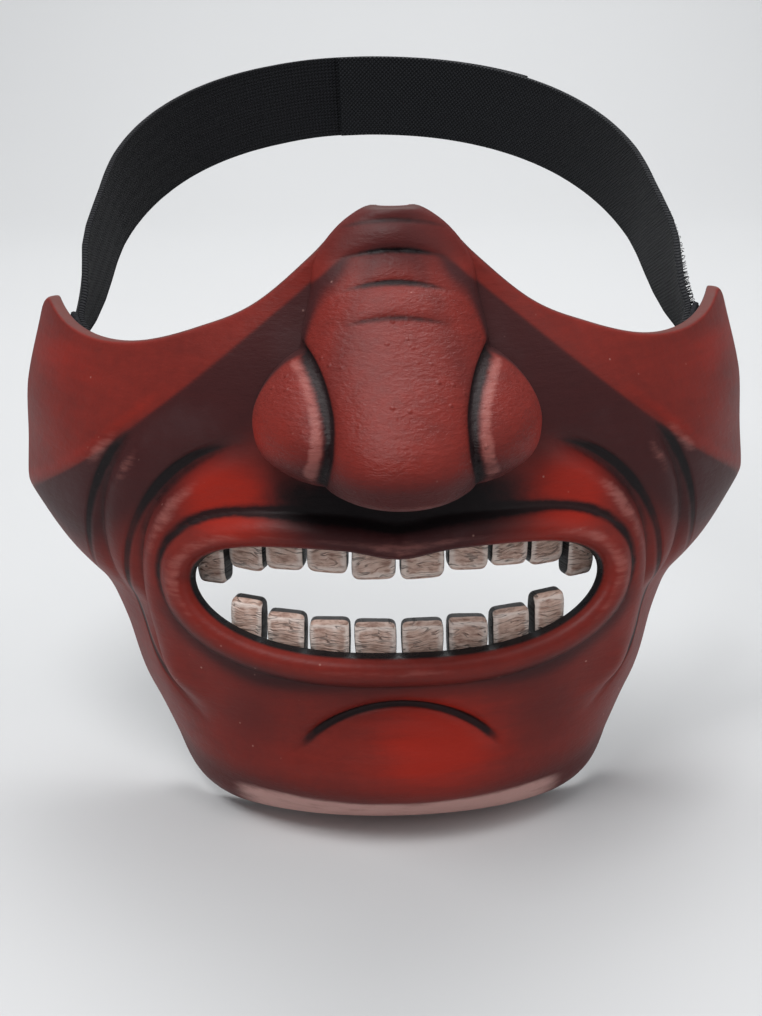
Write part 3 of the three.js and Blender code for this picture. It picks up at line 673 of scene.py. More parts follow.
def paint_zones(mesh):
    """Where the painter's dark wash, painted shade, bright red, rubbed edges and painted highlights
    lie.
    """
    points, pairs = places_of(mesh), read(mesh.edges, "vertices", 2, np.int32)
    normals = read(mesh.vertices, "normal", 3).astype(float)
    sunk = ((smoothed(points, pairs, CREVICES["passes"]) - points) * normals).sum(1)
    x, y, z = points.T
    out, deep, m = np.abs(x), -z, from_mouth(x, z)
    nose_out = plain_face(np.clip(x / along(FACE_LEVELS, z)[:, 1], -1, 1), z)[:, 1] - y
    nose = ramp(nose_out, 3, 10) * ramp(z, -48.5, -47)
    turn = turned(x, y, z)
    ridge_line = above_ridge(out, z)

    lit_ridge = bell((ridge_line - BRIGHT_RIDGE["at"]) / BRIGHT_RIDGE["width"])
    lit_ridge = BRIGHT_RIDGE["strength"] * lit_ridge * ramp(out, *BRIGHT_RIDGE["from_x"])
    bright = painted(out, z, BRIGHT_CHEEKS) + painted(x, z, BRIGHT_CHIN) + lit_ridge
    bright = bright * (1 - nose) + painted(turn, z, BRIGHT_NOSE) * nose

    # Dark mask: wash, and painted shade below the ridge, round the lower lip, low on nose and chin
    below = ramp(-ridge_line, -0.4, 1.2) * ramp(out, 8, 14) * ramp(z, -80, -50)
    below = below * bell((ridge_line - BELOW_RIDGE["at"]) / BELOW_RIDGE["width"])
    round_mouth = bell((m - ROUND_MOUTH["at"]) / ROUND_MOUTH["width"])
    dark = (
        BELOW_RIDGE["strength"] * below
        + ROUND_MOUTH["strength"] * round_mouth * ramp(deep, *ROUND_MOUTH["from_depth"])
        + painted(out, z, DARK_LIP) * ramp(m, 0.5, 3)
        + painted(out, z, DARK_CHEEKS)
        + 0.5 * ramp(deep, *DARK_DEPTHS["chin"])
    ) * (1 - 0.9 * np.clip(bright, 0, 1)) * (1 - nose)
    dark += nose * (0.6 * ramp(deep, *DARK_DEPTHS["nose"]) + painted(turn, z, DARK_NOSE))
    dark += 0.62 * ramp(z, *DARK_DEPTHS["bridge"]) * bell(x / DARK_DEPTHS["bridge_width"])

    crease = (wing_place(turn, z) - WING_CREASE["at"]) / WING_CREASE["width"]
    wing = nose * ramp(z, -46, -40) * (1 - ramp(turn, 84, 100)) * ramp(y, -60, -20)
    lip_line = bell((m - LIP["crest"] - LIP["reach"]) / 0.9) * (0.4 + 0.6 * ramp(z, -80, -60))
    roll = np.abs(frown_place(x, z))
    between_rolls = bell((np.abs(roll - np.round(roll)) - 0.5) / 0.09) * (roll < 1.7)
    # Black: lines in the creases, and painted shade where the wall is sunk and under the nose.
    groove = (
        0.8 * ramp(sunk, *CREVICES["groove"]) + painted(out, z, UNDER_NOSE) * (1 - nose)
        + wing * bell(crease / 0.95) + 0.8 * lip_line
        + 0.85 * between_rolls * bell((x / FROWN["half_width"]) ** 2)
    )
    # Pale edges: rubbed paint on ridges, painted highlights at the wing creases, lip crests and
    # nose's foot.
    wear_and_highlight = (
        ramp(-sunk, *CREVICES["ridge"]) + 2.2 * wing * bell((crease + 1.25) / 0.3)
        + 0.5 * bell(m - LIP["crest"]) + 0.7 * nose * ramp(deep, 43.5, 46.5)
    )
    soft = smoothed(np.stack([groove, wear_and_highlight], -1), pairs, CREVICES["softening"])
    groove, ridge, dark, bright = np.clip([*soft.T, dark, bright], 0, 1)
    # A pale band along the chin's lower edge: a painted reflection of the pale ground below.
    chalky = ramp(deep, *CHIN_REFLECTION_BAND["depth"]) * (1 - ramp(out, *CHIN_REFLECTION_BAND["end_x"]))
    slant = 1 / np.maximum(np.abs(normals[:, 1]), LEAST_FACING)
    set_attributes(mesh, groove=groove, ridge=ridge, dark=dark, bright=bright, nose=nose,
                   chalky=chalky, slant=slant)


# Materials

class Wire:
    """An output socket of a node, which takes part in sums like a number."""

    def __init__(self, tree, socket=None):
        self.tree = tree
        self.socket = socket

    def node(self, kind, settings=(), values=(), output=0):
        """Output of a new node, with its settings and then what its sockets are given."""
        new = self.tree.nodes.new(kind)
        for key, value in dict(settings).items():
            setattr(new, key, value)
        for key, value in dict(values).items():
            if isinstance(value, Wire):
                self.tree.links.new(value.socket, new.inputs[key])
            else:
                new.inputs[key].default_value = value
        return Wire(self.tree, new.outputs[output])

    def math(self, operation, a, b=0.0):
        return self.node("ShaderNodeMath", {"operation": operation}, {0: a, 1: b})

    def __add__(self, other):
        return self.math("ADD", self, other)

    def __radd__(self, other):
        return self.math("ADD", other, self)

    def __sub__(self, other):
        return self.math("SUBTRACT", self, other)

    def __rsub__(self, other):
        return self.math("SUBTRACT", other, self)

    def __mul__(self, other):
        return self.math("MULTIPLY", self, other)

    def __rmul__(self, other):
        return self.math("MULTIPLY", other, self)

    def __pow__(self, other):
        return self.math("POWER", self, other)

    def sine(self):
        return self.math("SINE", self)

    def between(self, low, high):
        """0 below low, 1 above high, and smooth between them."""
        settings = {"interpolation_type": "SMOOTHSTEP"}
        return self.node("ShaderNodeMapRange", settings, {0: self, 1: low, 2: high})

    def attribute(self, name):
        return self.node("ShaderNodeAttribute", {"attribute_name": name}, output=2)

    def stretched(self, scale):
        return self.node("ShaderNodeMapping", {}, {"Vector": self, "Scale": scale})

    def noise(self, scale, detail=3.0, roughness=0.5):
        values = {"Vector": self, "Scale": scale, "Detail": detail, "Roughness": roughness}
        return self.node("ShaderNodeTexNoise", {}, values)

    def spots(self, scale, randomness=1.0):
        values = {"Vector": self, "Scale": scale, "Randomness": randomness}
        return self.node("ShaderNodeTexVoronoi", {}, values)

    def over(self, below, above):
        """A colour laid over another one, by this factor."""
        pair = (c if isinstance(c, Wire) else (*c, 1.0) for c in (below, above))
        settings = {"data_type": "RGBA", "blend_type": "MIX", "clamp_factor": True}
        return self.node("ShaderNodeMix", settings, dict(zip((0, 6, 7), (self, *pair))), 2)


def linear(r, g, b):
    """A colour given as 0 to 255 on a screen, in the renderer's linear light."""
    def channel(value):
        c = value / 255
        return c / 12.92 if c <= 0.04045 else ((c + 0.055) / 1.055) ** 2.4
    return channel(r), channel(g), channel(b)


def start_material(name, **constants):
    """A new material, and the coordinates on the piece in metres."""
    material = bpy.data.materials.new(name)
    material.use_nodes = True
    shader = material.node_tree.nodes["Principled BSDF"]
    for socket, value in constants.items():
        shader.inputs[socket.replace("_", " ")].default_value = value
    return material, Wire(material.node_tree).node("ShaderNodeTexCoord", output=3)


def finish_material(material, color, roughness, height, distance, strength):
    """Feeds the shader its colour, its roughness and, from a height, its bumps."""
    tree = material.node_tree
    shader = tree.nodes["Principled BSDF"]
    tree.links.new(color.socket, shader.inputs["Base Color"])
    tree.links.new(roughness.socket, shader.inputs["Roughness"])
    values = {"Height": height, "Distance": distance, "Strength": strength}
    bump = height.node("ShaderNodeBump", {}, values)
    tree.links.new(bump.socket, shader.inputs["Normal"])
    return material


LINE_SHIFT = 0.2
LINE_EDGE = (0.35, 1.75)
LINE_FADE = 1.5 * FOLD_FADE


def fold_lines(place):
    """Thin lines along the bottoms of the folds, 1 on a line."""
    x = place.node("ShaderNodeSeparateXYZ", {}, {0: place}, output=0) * (1 / MM)
    z = place.node("ShaderNodeSeparateXYZ", {}, {0: place}, output=2) * (1 / MM)
    slant = place.attribute("slant")
    total = 0.0
    for arc in (*SMILE_FOLDS, CHIN_FOLD):
        arc_x, arc_z, radius, start, end = arc[:5]
        across = (x.math("ABSOLUTE", x) if arc_x else x) - arc_x
        up = z - arc_z
        offset = ((across * across + up * up) ** 0.5 - radius) * slant
        near = 1 - offset.math("ABSOLUTE", offset - LINE_SHIFT).between(*LINE_EDGE)
        angle = up.math("ARCTAN2", up, across) * math.degrees(1)
        there = angle.between(start - FOLD_FADE, start + LINE_FADE)
        there = there * (1 - angle.between(end - LINE_FADE, end + FOLD_FADE))
        total = near * there + total
    return total


def red_paint(colors):
    """Satin red paint over the casting: dark wash and painted shade, bright patches, rubbed edges
    and painted highlights, black inside.
    """
    material, place = start_material("red_paint", Specular_IOR_Level=0.2)
    groove, ridge, dark, bright, nose, inside, worn, chalky, slant = (
        place.attribute(n) for n in (
            "groove", "ridge", "dark", "bright", "nose", "inside", "worn", "chalky", "slant")
    )
    clouds = place.noise(38, 5, 0.62)
    grain = place.noise(420, 3, 0.6)
    brushed = place.stretched((1, 1, 5)).noise(140, 4, 0.65)
    streaks = place.stretched((1, 1, 7)).noise(48, 5, 0.7)
    base = (clouds * 0.5 + grain * 0.2 + streaks * 0.3).between(0.3, 0.7)
    base = base.over(colors.deep, colors.red)
    lit = (bright * (0.55 + 0.9 * streaks)).between(0.15, 0.85)
    base = (lit * 0.9).over(base, colors.bright)
    # Dark wash and painted shade, greyer in places, laid over the red.
    shade = (dark * (0.5 + 0.7 * clouds + 0.3 * streaks)).between(0.12, 0.8)
    base = (shade * 0.88).over(base, colors.wash_and_shade)
    smoky = (dark * clouds).between(0.42, 0.7)
    base = (smoky * 0.3).over(base, linear(78, 62, 64))
    lines = fold_lines(place)
    # Black creases and fold lines, with painted shade in the hollows and under the nose.
    black = (groove * (0.7 + 0.6 * grain) + lines * (0.2 + 1.1 * clouds)).between(0.22, 0.85)
    base = (black * 0.95).over(base, linear(15, 12, 15))
    # Pale pink on ridges: partly rubbed paint, partly painted highlight.
    wear_and_highlight = (ridge * (0.1 + 1.3 * brushed)).between(0.3, 0.85)
    base = (wear_and_highlight * (1 - black) * 0.38).over(base, linear(186, 120, 112))
    # Painted reflection: a pale band along the chin's lower edge.
    pale = (chalky * (0.2 + 0.7 * brushed + 0.6 * clouds)).between(0.3, 0.85)
    base = (pale * 0.85).over(base, linear(204, 160, 152))
    edge = (worn * (0.5 + 0.9 * brushed)).between(0.35, 0.95)
    base = (edge * 0.6).over(base, linear(84, 62, 58))
    specks = 1 - place.spots(230).between(0.0, 0.09)
    dusty = specks * place.noise(35).between(0.52, 0.62) * 0.6
    base = dusty.over(base, linear(206, 160, 148))
    base = inside.over(base, linear(22, 21, 24))
    rough = 0.31 + 0.14 * grain + 0.1 * dark + 0.05 * black - 0.04 * nose - 0.1 * inside
    rough = rough + 0.08 * (slant - 1) * (1 - inside)
    skin = place.stretched((1, 1, 2.4)).noise(560, 4, 0.65)
    pimples = (1 - place.spots(340).between(0.0, 0.26)) * place.noise(95).between(0.48, 0.58)
    height = 0.35 * grain + 0.45 * brushed + 0.3 * clouds - 1.4 * lines
    height = height + nose * (1.4 * skin + 1.5 * pimples) + 0.35 * skin
    return finish_material(material, base, rough, height, 0.0003, 0.65)


def tooth_paint(colors):
    """Ivory dragged over brown with a dry brush, chalk-white at the edges and black down the sides.
    """
    material, place = start_material("tooth_paint")
    side, edge, run, rise = (place.attribute(n) for n in ("side", "edge", "run", "rise"))
    local = place.node("ShaderNodeCombineXYZ", {}, {0: run, 1: rise})
    warp = local.noise(0.22, 2)
    waved = place.node("ShaderNodeCombineXYZ", {}, {0: run, 1: rise * 6.0 + warp * 14.0})
    strokes = waved.noise(0.24, 5, 0.62)
    carved = waved.noise(0.13, 1, 0.4)
    patches = local.noise(0.4, 3)
    base = (strokes * 0.75 + patches * 0.35).between(0.34, 0.6).over(colors.brown, colors.ivory)
    chalk = (edge * 0.55 + patches * 0.9 + strokes * 0.8).between(0.78, 1.35)
    base = (chalk * 0.9).over(base, linear(244, 226, 216))
    crack = 1 - (carved - 0.5).math("ABSOLUTE", carved - 0.5).between(0.004, 0.03)
    crack = crack * patches.between(0.4, 0.6)
    base = (crack * 0.55).over(base, linear(52, 36, 30))
    sides = (side * (0.5 + strokes)).between(0.35, 0.8)
    base = sides.over(base, linear(18, 13, 13))
    height = 1.1 * strokes - 0.9 * crack + 0.3 * patches
    return finish_material(material, base, 0.36 + 0.25 * strokes, height, 0.0006, 0.85)


def waves(wire, pitch):
    return (wire * (2 * math.pi / pitch)).sine()


def webbing_material(colors):
    """Black woven webbing: fine ribs across, a twill step along, and fuzz."""
    material, place = start_material("webbing", Specular_IOR_Level=0.25)
    run, width = place.attribute("run"), place.attribute("width")
    ribs = (run * (2 * math.pi / 1.15) + waves(width, 0.9) * 1.2).sine()
    cords = waves(width, 1.1)
    fuzz = place.noise(1500, 3, 0.7)
    base = (0.5 + 0.3 * ribs + 0.35 * fuzz).between(0.3, 0.95)
    base = base.over(colors.strap, linear(26, 27, 32))
    height = 0.5 * ribs + 0.3 * cords + 0.4 * fuzz
    return finish_material(material, base, 0.72 + 0.2 * fuzz, height, 0.0006, 0.9)


def hook_material(colors):
    """Black nylon hook tape: a tight backing under moulded hooks."""
    material, place = start_material("hook_tape", Specular_IOR_Level=0.25)
    lines = waves(place.attribute("run"), 1.3) * waves(place.attribute("width"), 1.3)
    fuzz = place.noise(1100, 3, 0.6)
    base = (0.45 + 0.35 * lines + 0.3 * fuzz).between(0.25, 0.95)
    base = base.over(colors.strap, linear(28, 30, 35))
    height = 0.7 * lines + 0.4 * fuzz
    return finish_material(material, base, 0.6 + 0.25 * fuzz, height, 0.0006, 0.9)


def patch_material(colors):
    """Stick-on loop patch: a dense black nap."""
    material, place = start_material("loop_patch", Specular_IOR_Level=0.25)
    nap = place.noise(900, 4, 0.75)
    tufts = place.spots(1300)
    base = (0.6 * nap + 0.5 * tufts).between(0.25, 0.8).over(colors.strap, linear(30, 31, 36))
    return finish_material(material, base, 0.8 + 0.15 * nap, nap + 0.6 * tufts, 0.0004, 0.8)


# Teeth

def tooth_frame(node):
    """Middle, half sizes and axes (side, out, up) of a tooth's CAD solid."""
    areas, normals = {}, {}
    for polygon in node.data.polygons:
        if polygon.normal.y < -0.3 and abs(polygon.normal.z) < 0.01:
            key = round(math.degrees(math.atan2(polygon.normal.x, -polygon.normal.y)))
            areas[key] = areas.get(key, 0) + polygon.area
            normals[key] = polygon.normal.copy()
    if not areas:
        raise RuntimeError(f"{node.name} has no front face")
    outward = normals[max(areas, key=areas.get)]
    out = unit(np.array([outward.x, outward.y, 0]))
    axes = np.array([[-out[1], out[0], 0], out, [0, 0, 1]])
    local = places_of(node.data) @ axes.T
    low, high = local.min(0), local.max(0)
    return (low + high) / 2 @ axes, (high - low) / 2, axes


def cube_grid(steps):
    """Points and quads of a cube from -1 to 1, its sides cut into squares, facing inward."""
    line = np.linspace(-1, 1, steps + 1)
    points, faces, index = [], [], {}
    for axis in range(3):
        b, c = (axis + 1) % 3, (axis + 2) % 3
        for sign, i, j in itertools.product((-1, 1), range(steps), range(steps)):
            corners = []
            for di, dj in ((0, 0), (1, 0), (1, 1), (0, 1)):
                p = np.zeros(3)
                p[axis], p[b], p[c] = sign, line[i + di], line[j + dj]
                key = tuple(np.round(p, 5))
                if key not in index:
                    index[key] = len(points)
                    points.append(p)
                corners.append(index[key])
            faces.append(corners[::-1] if sign > 0 else corners)
    return np.array(points), faces


def tooth_mesh(name, node, up, rng):
    """A hand-cut tooth: a rounded block with a crowned face, round at the tip and cut a little
    unevenly. Its axes are left-handed, which turns the faces of the grid outward."""
    middle, half, axes = tooth_frame(node)
    q, faces = cube_grid(TOOTH["steps"])
    tip = -q[:, 2] * up
    power = (TOOTH["square"] - TOOTH["tip_rounding"] * ramp(tip, 0.1, 1.0))[:, None]
    block = q / (np.abs(q) ** power).sum(1, keepdims=True) ** (1 / power)
    side = np.abs(block[:, 0])
    lean, skew, dent = rng.uniform(-TOOTH["wander"], TOOTH["wander"], 3)
    cuts = sum(
        TOOTH["cut"] * np.sin(k * block[:, 2] + f * block[:, 0] + g)
        for k, f, g in rng.uniform(*TOOTH_WAVES, (4, 3))
    )
    shape = block.copy()
    shape[:, 0] *= TOOTH["width"] - TOOTH["taper"] * ramp(-tip, -0.4, 1)
    shape[:, 0] += lean * 0.5 * block[:, 2]
    shape[:, 1] -= TOOTH["crown"] * side**4 + TOOTH["thin_tip"] * ramp(tip, 0.5, 1)
    shape[:, 2] += skew * block[:, 0] * ramp(tip, 0, 1)
    shape[:, 1] += cuts * ramp(block[:, 1], 0, 1) + dent * 0.4 * block[:, 2]
    points = (np.clip(shape, -1, 1) * half) @ axes + middle
    border = np.maximum(side, tip)
    angle = rng.uniform(-TOOTH["stroke_angle"], TOOTH["stroke_angle"])
    shift = rng.uniform(0, TOOTH["stroke_shift"])
    u, v = block[:, 0] * half[0], block[:, 2] * half[2]
    mesh = new_mesh(
        name, points, faces,
        side=ramp(side, 0.93, 1.0) + ramp(-block[:, 1], -0.75, 0.0),
        edge=ramp(border, 0.62, 0.9) * (1 - ramp(border, 0.97, 1.0)),
        run=u * math.cos(angle) - v * math.sin(angle) + shift,
        rise=u * math.sin(angle) + v * math.cos(angle) + shift,
    )
    shade_smooth(mesh)
    return mesh


# Strap

def cheek_stations(depth, seat):
    """Places and ways out along the inside of the +X cheek, at a depth behind the wall."""
    first_y = plain_face(STRAP_SEAT[0], STRAP["start_z"])[1]
    places, outs = [], []
    for across in np.linspace(*seat, SEAT_STATIONS):
        y = plain_face(across, STRAP["start_z"])[1]
        z = STRAP["start_z"] + STRAP["rise"] * (y - first_y)

        def wall(q, dz):
            return face_inside(np.float64(across + q), np.float64(z + dz))

        rearward = wall(SEAT_REACH, 0) - wall(-SEAT_REACH, 0)
        upward = wall(0, PATCH["height"] / 6) - wall(0, -PATCH["height"] / 6)
        outward = unit(np.cross(rearward, upward))
        middle = wall(0, 0)
        insets = [
            float((wall(q, share * PATCH["height"] / 2) - middle) @ outward)
            for q in (-SEAT_REACH, 0, SEAT_REACH) for share in SEAT_SAMPLES
        ]
        places.append(middle + outward * (min(0, *insets) - FACET_ROOM - depth))
        outs.append(outward)
    return np.array(places), np.array(outs)


def centripetal(points, samples):
    """A dense line on the centripetal Catmull-Rom curve through the points."""
    ends = [2 * points[0] - points[1], *points, 2 * points[-1] - points[-2]]
    t = np.linspace(0, 1, samples, endpoint=False)[:, None]
    line = []
    for p0, p1, p2, p3 in zip(ends, ends[1:], ends[2:], ends[3:]):
        d0, d1, d2 = (np.linalg.norm(b - a) ** 0.5 for a, b in ((p0, p1), (p1, p2), (p2, p3)))
        t1 = ((p1 - p0) / d0 - (p2 - p0) / (d0 + d1) + (p2 - p1) / d1) * d1
        t2 = ((p2 - p1) / d1 - (p3 - p1) / (d1 + d2) + (p3 - p2) / d2) * d1
        c2, c3 = -3 * p1 + 3 * p2 - 2 * t1 - t2, 2 * p1 - 2 * p2 + t1 + t2
        line.append(p1 + t1 * t + c2 * t**2 + c3 * t**3)
    return np.vstack([*line, points[-1:]])


MIRROR = np.array([-1, 1, 1])


def head_stations():
    """The loop's middle line, from the +X cheek round the head to the -X cheek."""
    depth = GAP + PATCH["thickness"] + STRAP["clearance"] + STRAP["thickness"] / 2
    places, outs = cheek_stations(depth, STRAP_SEAT)
    last, last_out = places[-1], outs[-1]
    turn = np.linspace(0, np.pi / 2, HEAD_TURNS + 1)
    plan = np.array([
        [last[0], last[1], 0],
        [*TEMPLE, 0],
        *np.stack([
            HEAD["half_width"] * np.cos(turn),
            HEAD["side_y"] + (HEAD["back_y"] - HEAD["side_y"]) * np.sin(turn),
            0 * turn,
        ], -1),
    ])
    line = centripetal(plan, 60)
    run = lengths(line)
    steps = round(run[-1] / STRAP_STEP)
    share = np.arange(1, steps + 1) / steps
    free = resampled(line, run, share * run[-1])
    tangent = unit(np.gradient(line, axis=0))
    tangent[-1] = (-1, 0, 0)
    ahead = resampled(tangent, run, share * run[-1])
    level = np.stack([ahead[:, 1], -ahead[:, 0], 0 * share], -1)
    rise = HEAD["back_z"] - last[2]
    free[:, 2] = last[2] + rise * np.sin(share * np.pi / 2)
    blend = ramp(np.arange(1, steps + 1), 0, TURN_BLEND)[:, None]
    free_outs = unit(last_out * (1 - blend) + level * blend)
    halves = np.vstack([places, free]), np.vstack([outs, free_outs])
    return [np.vstack([half, half[-2::-1] * MIRROR]) for half in halves]


def stretch(places, outs, start, end, lift, step):
    """The part of the loop between two distances from the middle of the back, closely spaced."""
    run = lengths(places)
    distance = (run[-1] / 2 - run)[::-1]
    at = np.linspace(end, start, max(2, round((end - start) / step)))
    middle, outward = (resampled(values[::-1], distance, at) for values in (places, outs))
    outward = unit(outward)
    for _ in range(STRAP_SMOOTHING):
        middle[1:-1] = (middle[:-2] + 2 * middle[1:-1] + middle[2:]) / 4
    return middle + outward * lift(at)[:, None], outward, at


def band_axes(middle, outward):
    """Ways ahead, up and out at each station of a band."""
    forward = unit(np.gradient(middle, axis=0))
    upward = unit(np.cross(outward, forward))
    return forward, upward, np.cross(forward, upward)


def band_section(steps, selvedge):
    """Section of a woven band: flat faces, a slightly thicker woven edge, and round sides."""
    u = np.cos(np.linspace(0, np.pi, steps + 1))
    out = np.abs(u)
    thick = 1 - BAND["thin"] * (1 - ramp(out, 1 - 2 * selvedge, 1 - selvedge))
    side = np.clip((out - 1 + BAND["round"]) / BAND["round"], 0, 1)
    thick = thick * np.sqrt(np.maximum(1 - side**2, BAND["least"] ** 2))
    return np.vstack([np.stack([thick, u], -1), np.stack([-thick, u], -1)[::-1]])


def band_piece(name, stations, size, section, material):
    """Dresses a band's or patch's CAD solid in a woven band through the stations."""
    middle, outward, at = stations
    _, upward, out = band_axes(middle, outward)
    width, thickness = size
    n, u = section[:, :1] * thickness / 2, section[:, 1:] * width / 2
    rings = middle[:, None] + out[:, None] * n + upward[:, None] * u
    count, sides = rings.shape[:2]
    mesh = new_mesh(
        name, rings, capped_faces(count, sides),
        run=np.repeat(at, sides), width=np.tile(section[:, 1] * width / 2, count),
    )
    shade_smooth(mesh, BAND["sharp_above"])
    piece = new_object(f"{name}_cloth", mesh)
    return finish_piece(piece, f"{name}_cloth", [name], material)


def hook_points(rng, base, axes, height):
    """A small hook as rings of three points: a stem that curls over at its top."""
    forward, upward, outward = axes
    turn = rng.uniform(-HOOK_FIELD["sway"], HOOK_FIELD["sway"])
    turn += 0 if rng.random() < 0.5 else np.pi
    ahead = forward * np.cos(turn) + upward * np.sin(turn)
    aside = np.cross(ahead, outward)
    rings = []
    for i, (run, rise) in enumerate(HOOK_PATH * height):
        centre = base + ahead * run + outward * rise
        thick = HOOK_RADIUS["base"] - HOOK_RADIUS["loss"] * i
        lift = -outward if i > 2 else ahead
        for angle in HOOK_ANGLES:
            rings.append(centre + thick * (aside * np.cos(angle) + lift * np.sin(angle)))
    return rings


def hooks_mesh(settings, stations, size):
    """Rows of hooks over the part of the tape that the loop band leaves bare."""
    middle, outward, at = stations
    height, spacing = settings.hook_height / MM, settings.hook_spacing / MM
    axes = np.stack(band_axes(middle, outward), 1)
    rng = np.random.default_rng(3)
    reach = size[0] / 2 - HOOK_FIELD["margin"]
    first, last = OVERLAP["end"] + HOOK_FIELD["clear"], at.max() - HOOK_FIELD["end"]
    points, faces = [], []
    for distance in np.arange(first, last, spacing):
        k = int(np.argmin(np.abs(at - distance)))
        forward, upward, out = axes[k]
        for offset in np.arange(-reach, reach, spacing):
            up, ahead = rng.uniform(-HOOK_FIELD["jitter"], HOOK_FIELD["jitter"], 2)
            base = middle[k] + out * size[1] * HOOK_FIELD["seat"]
            base = base + upward * (offset + up) + forward * ahead
            first_point = len(points)
            points += hook_points(rng, base, axes[k], height)
            grid = capped_faces(len(HOOK_PATH), len(HOOK_ANGLES))
            faces += [[first_point + v for v in face] for face in grid]
    mesh = new_mesh("strap_hooks", np.array(points), faces, run=0, width=0)
    shade_smooth(mesh)
    return mesh


# Add-on

def color_property(name, description, screen):
    return bpy.props.FloatVectorProperty(
        name=name, description=description, default=linear(*screen),
        subtype="COLOR", size=3, min=0, max=1,
    )


def count_property(name, description, default, low, high):
    return bpy.props.IntProperty(
        name=name, description=description, default=default, min=low, max=high)


def length_property(name, description, default, low, high):
    return bpy.props.FloatProperty(
        name=name, description=description, default=default, min=low, max=high, unit="LENGTH")


def angle_property(name, description, degrees):
    return bpy.props.FloatProperty(
        name=name, description=description, default=math.radians(degrees), subtype="ANGLE")


class GuardColors(bpy.types.PropertyGroup):
    red: color_property("Red", "Main red of the paint", (126, 38, 30))
    deep: color_property("Deep red", "Darker red that clouds the paint", (102, 32, 27))
    bright: color_property("Bright red", "Red of the brightest patches", (158, 36, 22))
    # Colour of the dark wash, and of the painted shade under the nose and below the ridge.
    wash_and_shade: color_property("Wash", "Dark wash beside the nose and round the mouth", (52, 24, 26))
    ivory: color_property("Ivory", "Light strokes on the teeth", (214, 180, 164))
    brown: color_property("Brown", "Brown under the strokes on the teeth", (142, 102, 86))
    strap: color_property("Strap", "Black of the webbing", (5, 6, 9))


class GuardShellSettings(bpy.types.PropertyGroup):
    columns_upper: count_property(
        "Upper columns", "Columns from a mouth corner to the middle of the bridge", 126, 20, 200)
    columns_lower: count_property(
        "Lower columns", "Columns from a mouth corner to the middle of the chin", 96, 20, 200)
    rows: count_property("Rows", "Rows between the mouth and the rim", 92, 20, 160)


class GuardStrapSettings(bpy.types.PropertyGroup):
    step: length_property("Step", "Spacing of the strap's sections", 0.0015, 0.0005, 0.01)
    hook_height: length_property(
        "Hook height", "Height of the hooks on the hook tape", 0.0012, 0.0004, 0.003)
    hook_spacing: length_property("Hook spacing", "Distance between hooks", 0.0014, 0.0008, 0.005)


class GuardStageSettings(bpy.types.PropertyGroup):
    distance: length_property(
        "Camera distance", "From the camera to the middle of the mask", 0.36, 0.1, 5)
    elevation: angle_property("Elevation", "How far the camera looks down", 20)
    yaw: angle_property("Yaw", "How far the camera stands to the mask's side", 2.2)
    roll: angle_property("Roll", "How far the picture leans", 0.4)
    floor: color_property("Floor", "Pale floor", (205, 206, 207))


class GUARD_OT_shell(bpy.types.Operator):
    """Build the painted casting with its nose, lips and folds"""
    bl_idname = "guard.shell"
    bl_label = "Face shell"

    def execute(self, context):
        settings = context.scene.guard_shell
        columns = (settings.columns_upper, settings.columns_lower)
        shell = new_object("face_shell_body", wall_mesh(columns, settings.rows))
        levels = np.unique(np.concatenate([np.linspace(*cut) for cut in NOSE_CUTS]))
        combine(shell, new_object("nose", nose_mesh(levels, NOSE_STEPS, False)), "UNION")
        for side in (-1, 1):
            combine(shell, new_object("nostril", nostril_mesh(side)), "DIFFERENCE")
        levels = np.linspace(NOSE_HOLLOW["floor"], NOSE_HOLLOW["top"], HOLLOW_CUTS)
        hollow = new_object("hollow", nose_mesh(levels, HOLLOW_STEPS, True))
        combine(shell, hollow, "DIFFERENCE")
        if len(shell.data.polygons) < LEAST_SHELL_FACES:
            raise RuntimeError("the casting's bodies didn't join")
        shade_smooth(shell.data, SHELL_SHARP_ABOVE)
        blacken_hollow(shell.data)
        paint_zones(shell.data)
        material = red_paint(context.scene.guard_colors)
        finish_piece(shell, "face_shell_body", ["face_shell"], material)
        return {"FINISHED"}


class GUARD_OT_teeth(bpy.types.Operator):
    """Build the two rows of teeth behind the lips"""
    bl_idname = "guard.teeth"
    bl_label = "Teeth"

    def execute(self, context):
        material = tooth_paint(context.scene.guard_colors)
        rng = np.random.default_rng(7)
        for row, count, up in TOOTH_ROWS:
            for i in range(1, count + 1):
                name = f"{row}_{i}"
                mesh = tooth_mesh(f"{name}_cut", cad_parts[name], up, rng)
                piece = new_object(f"{name}_cut", mesh)
                finish_piece(piece, f"{name}_cut", [name], material)
        return {"FINISHED"}


class GUARD_OT_patches(bpy.types.Operator):
    """Build the stick-on patches inside the cheeks"""
    bl_idname = "guard.patches"
    bl_label = "Strap patches"

    def execute(self, context):
        material = patch_material(context.scene.guard_colors)
        places, outs = cheek_stations(GAP + PATCH["thickness"] / 2, PATCH_SEAT)
        run = lengths(places)
        at = np.linspace(0, run[-1], NAP["stations"])
        line, out = (resampled(values, run, at) for values in (places, outs))
        section = band_section(NAP["steps"], NAP["selvedge"])
        size = (PATCH["height"], PATCH["thickness"])
        left = (line[::-1] * MIRROR, unit(out)[::-1] * MIRROR, at)
        for stations, name in (
            ((line, unit(out), at), "strap_patch_right"), (left, "strap_patch_left"),
        ):
            band_piece(name, stations, size, section, material)
        return {"FINISHED"}


